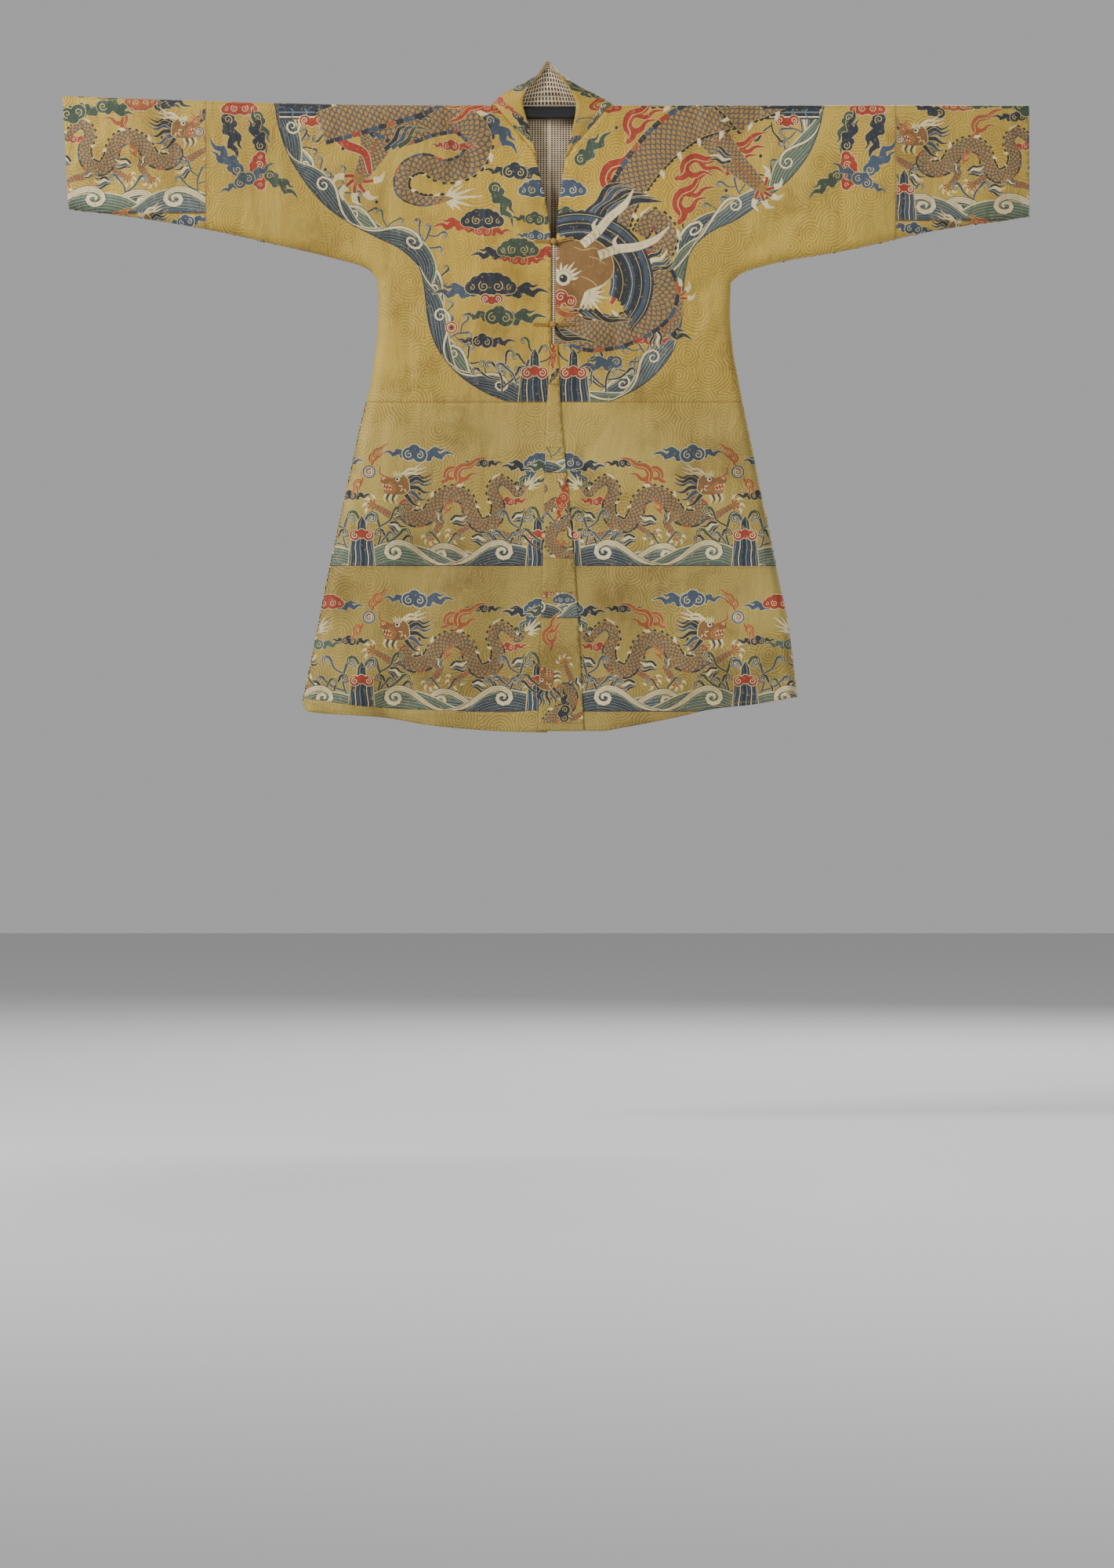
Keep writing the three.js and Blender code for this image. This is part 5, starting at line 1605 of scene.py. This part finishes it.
def bodice_outline(half):
    """Front waist, side, underarm, sleeve seam, and back down again, as one closed line on the flat sheet."""
    sign = OUTWARD[half]
    pit_x, pit_h = UNDERARM[half][0]
    seam_x = SLEEVE_SEAM[half]
    shoulder = FRONT_EDGE[half][0][1]
    hs = np.linspace(CREST, WAIST, 70)
    front = [(float(front_edge[half](h)), h) for h in hs]
    side = [(float(side_seam[half](h)), h) for h in np.linspace(WAIST, pit_h, 24)]
    arm = [(x, float(underarm[half](x))) for x in np.linspace(pit_x, seam_x, 40)[1:]]
    sleeve = [(seam_x, v) for v in np.linspace(arm[-1][1], 2 * top_of(seam_x) - arm[-1][1], 60)[1:]]
    back = [(x, 2 * top_of(x) - h) for x, h in (arm[:-1][::-1] + side[::-1])]
    centre = sign * SEAM / 2
    neck = [(centre, 2 * CREST - WAIST), (centre, CREST + BACK_NECK_DROP),
            (shoulder * BACK_NECK_CORNER, CREST + BACK_NECK_DROP)]
    return front + side + arm + sleeve + back + neck


def cuff_outline(half):
    sign = OUTWARD[half]
    start = SLEEVE_SEAM[half] + sign * SEAM
    low = float(underarm[half](start))
    x = float(cuff_end[half](-200))
    end_low = float(underarm[half](x))
    top = top_of(start)
    hs = np.linspace(end_low, top_of(float(cuff_end[half](20))), 30)
    edge = [(float(cuff_end[half](h)), h) for h in hs]
    seam = [(start, v) for v in np.linspace(2 * top - low, low, 60)]
    under = [(px, float(underarm[half](px))) for px in np.linspace(start, x, 30)[1:-1]]
    over = [(px, 2 * top_of(px) - h) for px, h in edge[::-1][1:]]
    back = [(px, 2 * top_of(px) - h) for px, h in under[::-1]]
    return seam + under + edge + over + back


def panel_outline(half, side, top, bottom):
    """A skirt panel between two lines, each a height by share u from centre to side."""
    centre = front_edge[half] if side < 0 else (lambda h: OUTWARD[half] * SEAM / 2)
    t0, t1, b0, b1 = float(top(0)), float(top(1)), float(bottom(0)), float(bottom(1))
    inner = [(float(centre(h)), h) for h in np.linspace(t0, b0, 30)]
    x0, x1 = float(centre(b0)), float(side_seam[half](b1))
    low = [(x0 + (x1 - x0) * u, float(bottom(u))) for u in np.linspace(0, 1, 60)[1:-1]]
    outer = [(float(side_seam[half](h)), h) for h in np.linspace(b1, t1, 60)]
    x0, x1 = float(centre(t0)), float(side_seam[half](t1))
    high = [(x0 + (x1 - x0) * u, float(top(u))) for u in np.linspace(1, 0, 60)[1:-1]]
    pts = inner + low + outer + high
    if side > 0:
        pts = [(x, 2 * CREST - h) for x, h in pts]
    return pts


def cut_size(outline):
    """The flat cut's box and area, in metres."""
    p = np.array(outline)
    w, l = (p.max(0) - p.min(0)) * 0.001
    area = abs(np.sum(p[:, 0] * np.roll(p[:, 1], -1) - np.roll(p[:, 0], -1) * p[:, 1])) / 2 * 1e-6
    return (float(w), float(l)), float(area)


BAND = band()


STITCH, STITCH_PITCH = 3.2, 6.5
SEAM_HEIGHTS = (60, -100, -280)  # where a sleeve's seam line is given


def seam(d, points, offset=3.0):
    """A seam's soft dark line, which is painted shade of the fold along it, and the stitches beside it."""
    path = curve(points, 5)
    # painted shade: a thin dark tan line along the seam, standing in for the shade in its fold
    d.add(ribbon(path, [0.9, 0.9]), "tan")
    s, n = lengths_of(path), normals_of(path)
    for u in np.arange(3, s[-1] - 3, STITCH_PITCH):
        d.add(ribbon(beside(path, n, s, (u, u + STITCH), offset), [0.7, 0.7]), "thread")
    return d


def band_seam(d, z):
    seam(d, [(x, z - 3) for x in (-460, 0, 440)])


def skirt_drawing():
    d = Drawing()
    for z in FRONT_BANDS:
        d.place(BAND, 0, z)
        d.place(BAND, 0, z, 1.0, 0, True)
        band_seam(d, z)
    return d


def back_skirt_drawing():
    d = Drawing()
    for z, facing, shift in zip(BACK_BANDS, (1, -1), (0, -24)):
        d.place(back_band(facing, shift), 0, z)
        band_seam(d, z)
    return d


def body_seams():
    """The seam rows above the waist and inside the sleeve seams, on the front."""
    d = Drawing()
    seam(d, [(x, WAIST + 1) for x in (420, 0, -420)], -3)
    for half, x in SLEEVE_SEAM.items():
        inside = x - OUTWARD[half]
        seam(d, [(inside, h) for h in SEAM_HEIGHTS], 3 * -OUTWARD[half])
    return d


def cuff_seams(half):
    d = Drawing()
    x = SLEEVE_SEAM[half] + OUTWARD[half] * 1.4
    return seam(d, [(x, h) for h in SEAM_HEIGHTS], 3 * OUTWARD[half])


BODY_SEAMS = body_seams()
front_art = {"left": [sleeve_clouds(), front_left()], "right": [mirrored(sleeve_clouds()), front_right()]}
back_art = [sleeve_clouds().behind(), mirrored(sleeve_clouds()).behind(), back_chest().behind()]
skirt_art = [skirt_drawing()]
back_skirt_art = [back_skirt_drawing().behind()]
cuff_art = {
    "left": [Drawing().place(cuff_art_of(False), -939, 14),
             Drawing().place(cuff_art_of(True), 939, 14, 1.0, 0, True).behind()],
    "right": [Drawing().place(cuff_art_of(True), 924, 0, 1.0, 0, True),
              Drawing().place(cuff_art_of(False), -924, 0).behind()],
}


def strip_art():
    """Lengths of other patterned cloth, pieced along the band over the opening: pieces between heights."""
    d = Drawing()

    def bar(low, high, ink):
        d.add([(-60, low), (-60, high), (90, high), (90, low)], ink)

    def level(z, height):
        base = np.array([(x, float(z)) for x in np.linspace(-60, 90, 20)])
        swells(d, base, 46, height, 2.4, ("navy", "teal", "blue"), 3.4)

    put_all(d, ((DRAGON, 30, -880, 0.8, 96), (scroll("red"), 18, -745, 0.8, 80), (spray(BUSH, "blue"), 6, -800, 0.9)))
    level(-690, 34)
    d.place(spray(BUSH, "teal"), -4, -664, 0.8)
    level(-968, 40)
    put_all(d, (
        (ruyi("blue", "cream"), 20, -932, 0.5), (DRAGON, 26, -1110, 0.8, 84, True),
        (flame("orange"), -6, -1030, 0.8, 40), (scroll("navy"), 22, -1150, 0.8, 90),
        (scroll("red"), 0, -470, 0.5, 90), (scroll("navy"), 2, -505, 0.4, 60),
    ))
    for high, low in ((-521, -642), (-854, -918), (-1168, -1190)):
        bar(low, high, None)
    for z in (-521, -642, -690, -854, -918, -968, -1168):
        bar(z, z + 0.9, "thread")
    return d


def collar_art(reach):
    """The collar is cut from leftovers of patterned silk. x runs from the wearer's left front round to the right."""
    d = Drawing()
    middle = reach / 2
    put_all(d, (
        (scroll("green"), reach - 44, 26, 0.95, 60), (wisp("navy"), reach - 84, 30, 0.9, 20),
        (scroll("red"), reach - 122, 14, 0.7, 30), (wisp("green"), reach - 150, 40, 0.8, 160),
        (scroll("blue"), 40, 24, 0.8, 100), (spray(BUSH, "teal"), 84, 8, 0.9, -40),
        (flame("red"), 104, 18, 0.6, -30), (wisp("green"), 150, 30, 0.9, 10),
        (spray(TREE, "blue"), middle + 62, 2, 0.9), (scroll("green"), middle - 66, 28, 0.9),
    ))
    swells(d, np.array([(x, 2.0) for x in np.linspace(62, 140, 14)]), 30, 22, 2.2, ("green", "teal"), 2.6)
    dragon_body(d, [(middle - 40, -14), (middle - 10, 20), (middle + 30, 34), (middle + 58, 70)], (56, 56, 56, 52), 10)
    return d


def cloth_piece(name, replaced, outline, drawings, place=on_cloth, rests=("rod",), ground_of=ground, **kw):
    obj = shell(name, outline, place, drawings, ground_of, **kw)
    obj.data.materials.append(silk)
    obj.data.materials.append(lining)
    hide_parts(replaced)
    return obj


NAMES = {"left": "right", "right": "left"}  # the half seen on the left is the wearer's right
for half in OUTWARD:
    worn = NAMES[half]
    cloth_piece(f"cloth_bodice_{worn}", f"bodice_{worn}", bodice_outline(half),
                front_art[half] + back_art + [BODY_SEAMS, BODY_SEAMS.behind()])
    cloth_piece(f"cloth_cuff_{worn}", f"cuff_{worn}", cuff_outline(half),
                cuff_art[half] + [cuff_seams(half), cuff_seams(half).behind()])
    for side, where in ((-1, "front"), (1, "back")):
        key = (half, side)
        low = hem_seam.get(key, hem[key])
        art = skirt_art if side < 0 else back_skirt_art
        shares = np.linspace(0, 1, 9)
        stitches = seam(Drawing(), [(OUTWARD[half] * (5 + 470 * u), float(hem[key](u)) + 7) for u in shares], 2)
        stitches = stitches if side < 0 else stitches.behind()
        cloth_piece(f"cloth_skirt_{where}_{worn}", f"skirt_{where}_{worn}",
                    panel_outline(half, side, lambda u: WAIST - SEAM, low),
                    art if key in hem_seam else art + [stitches], rests=[f"cloth_bodice_{worn}"])
        if key in hem_seam:
            upper = hem_seam[key]
            cloth_piece(f"cloth_hem_{where}_{worn}", f"hem_{where}_{worn}",
                        panel_outline(half, side, lambda u, upper=upper: upper(u) - SEAM, hem[key]),
                        [stitches], rests=[f"cloth_skirt_{where}_{worn}"])


def on_strip(flat):
    p = on_cloth(flat)
    return p + outward_normals(on_cloth, flat, p + OFF_SEAM) * (CLOTH + 0.5)


hs = np.linspace(STRIP[0][0], STRIP[-1][0], 60)
strip_outline = [(float(strip_left(h)), h) for h in hs] + [(float(strip_right(h)), h) for h in hs[::-1]]
cloth_piece("cloth_front_strip", "front_strip", strip_outline, [strip_art()], place=on_strip, thickness=1.3,
            rests=["cloth_bodice_right", "cloth_skirt_front_right", "cloth_skirt_front_left"], extra=False)

# collar: its flat sheet is (way round the neck, way up)
rows = collar_rows()
round_neck = np.concatenate([[0], np.cumsum(np.linalg.norm(np.diff(rows[:, 4], axis=0), axis=1))])
up = np.linalg.norm(np.diff(rows, axis=1), axis=2).sum(1)
COLLAR_WIDTH = 52.0


def on_collar(flat):
    i = np.interp(round_neck[-1] - flat[:, 0], round_neck, range(len(rows)))
    j = np.clip(flat[:, 1] / COLLAR_WIDTH, 0, 1) * (rows.shape[1] - 1)
    i0 = np.clip(i.astype(int), 0, len(rows) - 2)
    j0 = np.clip(j.astype(int), 0, rows.shape[1] - 2)
    a, b = (i - i0)[:, None], (j - j0)[:, None]
    low = rows[i0, j0] * (1 - a) + rows[i0 + 1, j0] * a
    high = rows[i0, j0 + 1] * (1 - a) + rows[i0 + 1, j0 + 1] * a
    return low * (1 - b) + high * b


def collar_measure(flat):
    """The collar is wider at the back of the neck than its flat sheet says."""
    i = np.interp(round_neck[-1] - flat[:, 0], round_neck, range(len(rows)))
    return np.stack([flat[:, 0], flat[:, 1] / COLLAR_WIDTH * np.interp(i, range(len(rows)), up)], 1)


reach = round_neck[-1]
collar_outline = [(reach - 0.01, 0.01), (reach - 0.01, COLLAR_WIDTH), (0.01, COLLAR_WIDTH), (0.01, 0.01)]
cloth_piece("cloth_collar", "collar", collar_outline, [collar_art(reach)], place=on_collar, step=5, extra=False,
            measure=collar_measure, rests=["cloth_bodice_right", "cloth_bodice_left"],
            ground_of=lambda f: np.tile(CHEST_YELLOW, (len(f), 1)))


# ---- Linings: printed cotton behind the neck opening and inside the collar ----
def inside_of(place, depth):
    """The same places, moved in from a surface."""

    def at(flat):
        p = place(flat)
        return p - outward_normals(place, flat, p + OFF_SEAM) * depth

    return at


def lining_piece(name, outline, place, replaced=None, thickness=0.9, rests=(), size=None, **kw):
    obj = shell(name, outline, place, [], ground, thickness=thickness, extra=False, **kw)
    obj.data.materials.append(lining)
    obj.data.materials.append(lining)
    if replaced:
        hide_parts(replaced)
    size or cut_size(outline)[0]
    return obj


def box_outline(x0, v0, x1, v1):
    return [(x1, v0), (x1, v1), (x0, v1), (x0, v0)]


BODY_LINING = (-66, 2 * CREST + 7, 66, 2 * CREST + 456)
lining_piece("lining_back", box_outline(*BODY_LINING), inside_of(on_cloth, CLOTH + SEAM), "body_lining",
             rests=["cloth_bodice_right", "cloth_bodice_left"])
COLLAR_LINED = (28, 56, 0.1, 0.38)  # first and last row of the collar, and shares of the way up
first, last, low, high = COLLAR_LINED
lining_piece("lining_collar", box_outline(reach - round_neck[last], low * COLLAR_WIDTH, reach - round_neck[first],
                                          high * COLLAR_WIDTH),
             inside_of(on_collar, CLOTH + SEAM), "collar_lining", rests=["cloth_collar"], step=5,
             measure=collar_measure,
             size=(float(round_neck[last] - round_neck[first]) * 0.001,
                   float(up[first:last].mean()) * (high - low) * 0.001))
# the lining's edge, seen in the gap between the fronts
lining_piece("lining_front_edge", box_outline(-26, -452, 9, -252), inside_of(on_cloth, CLOTH + 0.9),
             rests=["cloth_bodice_right"], step=6)


# ---- Knot buttons and their cords ----
def tube(path, rings, closed=False):
    """Vertices and faces of a swept tube. rings: (radius, angle) pairs for each point of the path."""
    path = np.array(path)
    tangent = np.gradient(path, axis=0)
    if closed:
        tangent = np.roll(path, -1, axis=0) - np.roll(path, 1, axis=0)
    tangent /= np.linalg.norm(tangent, axis=1)[:, None]
    side = np.cross(tangent[0], (0.13, 0.92, 0.37))
    verts, faces = [], []
    count = len(rings[0])
    for k, (point, t) in enumerate(zip(path, tangent)):
        side = side - t * side.dot(t)
        side /= np.linalg.norm(side)
        other = np.cross(t, side)
        verts += [point + (side * math.cos(a) + other * math.sin(a)) * r for r, a in rings[k]]
    rows = len(path)
    for k in range(rows if closed else rows - 1):
        for j in range(count):
            a, b = k * count + j, k * count + (j + 1) % count
            c, e = (a + count) % (rows * count), (b + count) % (rows * count)
            faces.append((a, c, e, b))
    if not closed:
        faces.append(tuple(range(count)))
        faces.append(tuple(range((rows - 1) * count, rows * count))[::-1])
    return verts, faces


def twisted(path, radius, pitch=4.6, sides=14):
    """Two plies twisted together, as the rings of one tube."""
    along_path = np.concatenate([[0], np.cumsum(np.linalg.norm(np.diff(path, axis=0), axis=1))])
    angles = [2 * math.pi * j / sides for j in range(sides)]
    return [[(radius * (0.66 + 0.34 * abs(math.cos(a - 2 * math.pi * u / pitch))), a) for a in angles]
            for u in along_path]


def small_piece(name, parts, replaced):
    verts, faces = [], []
    for more_verts, more_faces in parts:
        faces += [tuple(i + len(verts) for i in f) for f in more_faces]
        verts += [tuple(v * 0.001) for v in more_verts]
    mesh = bpy.data.meshes.new(name)
    mesh.from_pydata(verts, [], faces)
    bm = bmesh.new()
    bm.from_mesh(mesh)
    bmesh.ops.recalc_face_normals(bm, faces=bm.faces)
    bm.to_mesh(mesh)
    bm.free()
    mesh.polygons.foreach_set("use_smooth", [True] * len(mesh.polygons))
    obj = new_object(name, mesh)
    obj.data.materials.append(cord)
    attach(obj, "root")
    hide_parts(replaced)


# x, z: the knot. left, right: how far the cords reach
FROGS = {"upper": {"x": 0, "z": -247, "left": -35, "right": 36, "tilt": 6},
         "lower": {"x": -1, "z": -406, "left": -37, "right": 36, "tilt": 1}}
KNOT_RADIUS = 6.5
CORD_RADIUS, CORD_APART = 1.25, 3.4
KNOT_PLY = 1.35
KNOT_WINDS, KNOT_WAVES = 5, 8
KNOT_STEPS, CORD_STEPS = 420, 150  # points along the cord


def knot_centre(frog):
    to_edge = min(abs(float(front_edge[half](frog["z"])) - frog["x"]) for half in OUTWARD)
    front = on_cloth(np.array([[frog["x"] + 10.0, frog["z"]]]))[0][1]
    return np.array([frog["x"], front - math.sqrt((KNOT_RADIUS + SEAM) ** 2 - to_edge**2), frog["z"]])


def knot_parts(centre):
    """A ball knot: one cord wound over and under itself round a ball."""
    t = np.linspace(0, 2 * math.pi * KNOT_WINDS, KNOT_STEPS, endpoint=False)
    swing = KNOT_WAVES / KNOT_WINDS * t
    height = np.sin(swing) * 1.22
    far = KNOT_RADIUS - KNOT_PLY - 0.75 + 0.7 * np.cos(2 * swing)
    path = np.stack([np.cos(height) * np.cos(t), np.sin(height), np.cos(height) * np.sin(t)], 1) * far[:, None]
    rings = twisted(path, KNOT_PLY, pitch=3.0, sides=8)
    parts = [tube(path + centre, rings, closed=True)]
    core = bmesh.new()
    bmesh.ops.create_icosphere(core, subdivisions=3, radius=KNOT_RADIUS - KNOT_PLY * 2)
    core.verts.ensure_lookup_table()
    parts.append(([np.array(v.co) + centre for v in core.verts], [tuple(v.index for v in f.verts)
                                                                 for f in core.faces]))
    core.free()
    return parts


def frog_cord(frog, reach_x, lift):
    sign = math.copysign(1, reach_x)
    start = frog["x"] + sign * (KNOT_RADIUS + 2.2)

    def at(x, dz):
        t = (x - start) / (reach_x - start)
        flat = np.array([[x, frog["z"] + lift * t + dz]])
        p = on_cloth(flat)
        out = CORD_RADIUS + SEAM + 2.5 * max(0, 1 - t) ** 3
        return (p + outward_normals(on_cloth, flat, p + OFF_SEAM) * out)[0]

    half = CORD_APART / 2
    xs = np.linspace(start, reach_x, 5)
    route = [at(x, half) for x in xs] + [at(reach_x + sign * half, 0)] + [at(x, -half) for x in xs[::-1]]
    path = np.array([catmull(route, t) for t in np.linspace(0, 1, CORD_STEPS)])
    return [tube(path, twisted(path, CORD_RADIUS))]


for place, frog in FROGS.items():
    small_piece(f"ball_knot_{place}", knot_parts(knot_centre(frog)), f"knot_{place}")
    small_piece(f"frog_{place}_right", frog_cord(frog, frog["left"], 0), f"cord_{place}_right")
    small_piece(f"frog_{place}_left", frog_cord(frog, frog["right"], frog["tilt"]), f"cord_{place}_left")

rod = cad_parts["rod"]
rod.data.materials.clear()
rod.data.materials.append(rod_material())

# ---- Floor, light and camera ----
FLOOR_Z = -1.95
bpy.ops.mesh.primitive_plane_add(size=30, location=(0, 0, FLOOR_Z))
floor = bpy.context.object
floor.name = "floor"
floor.data.materials.append(Graph("floor").finish(Base_Color=(0.62, 0.62, 0.62), Roughness=0.8))

world = bpy.data.worlds.new("world")
world.use_nodes = True
world.node_tree.nodes["Background"].inputs["Color"].default_value = (0.8, 0.8, 0.8, 1)
world.node_tree.nodes["Background"].inputs["Strength"].default_value = 0.5
bpy.context.scene.world = world


def lamp(name, location, size, power, target=(0, 0, -0.55)):
    data = bpy.data.lights.new(name, "AREA")
    data.size = size
    data.energy = power
    obj = new_object(name, data)
    obj.location = location
    obj.rotation_euler = (Vector(target) - Vector(location)).to_track_quat("-Z", "Y").to_euler()


lamp("key", (-3.4, -2.6, 2.0), 1.6, 300)
lamp("fill", (3.6, -4.4, 0.2), 2.6, 90)
lamp("back", (1.5, 4.2, 2.0), 2.6, 240)

camera_data = bpy.data.cameras.new("camera")
camera_data.lens = 135
camera_data.sensor_width = 36
camera_data.sensor_fit = "AUTO"
camera = new_object("camera", camera_data)
camera.location = (0.00675, -11.25, -1.284)
camera.rotation_euler = (math.pi / 2, 0, 0)
bpy.context.scene.camera = camera
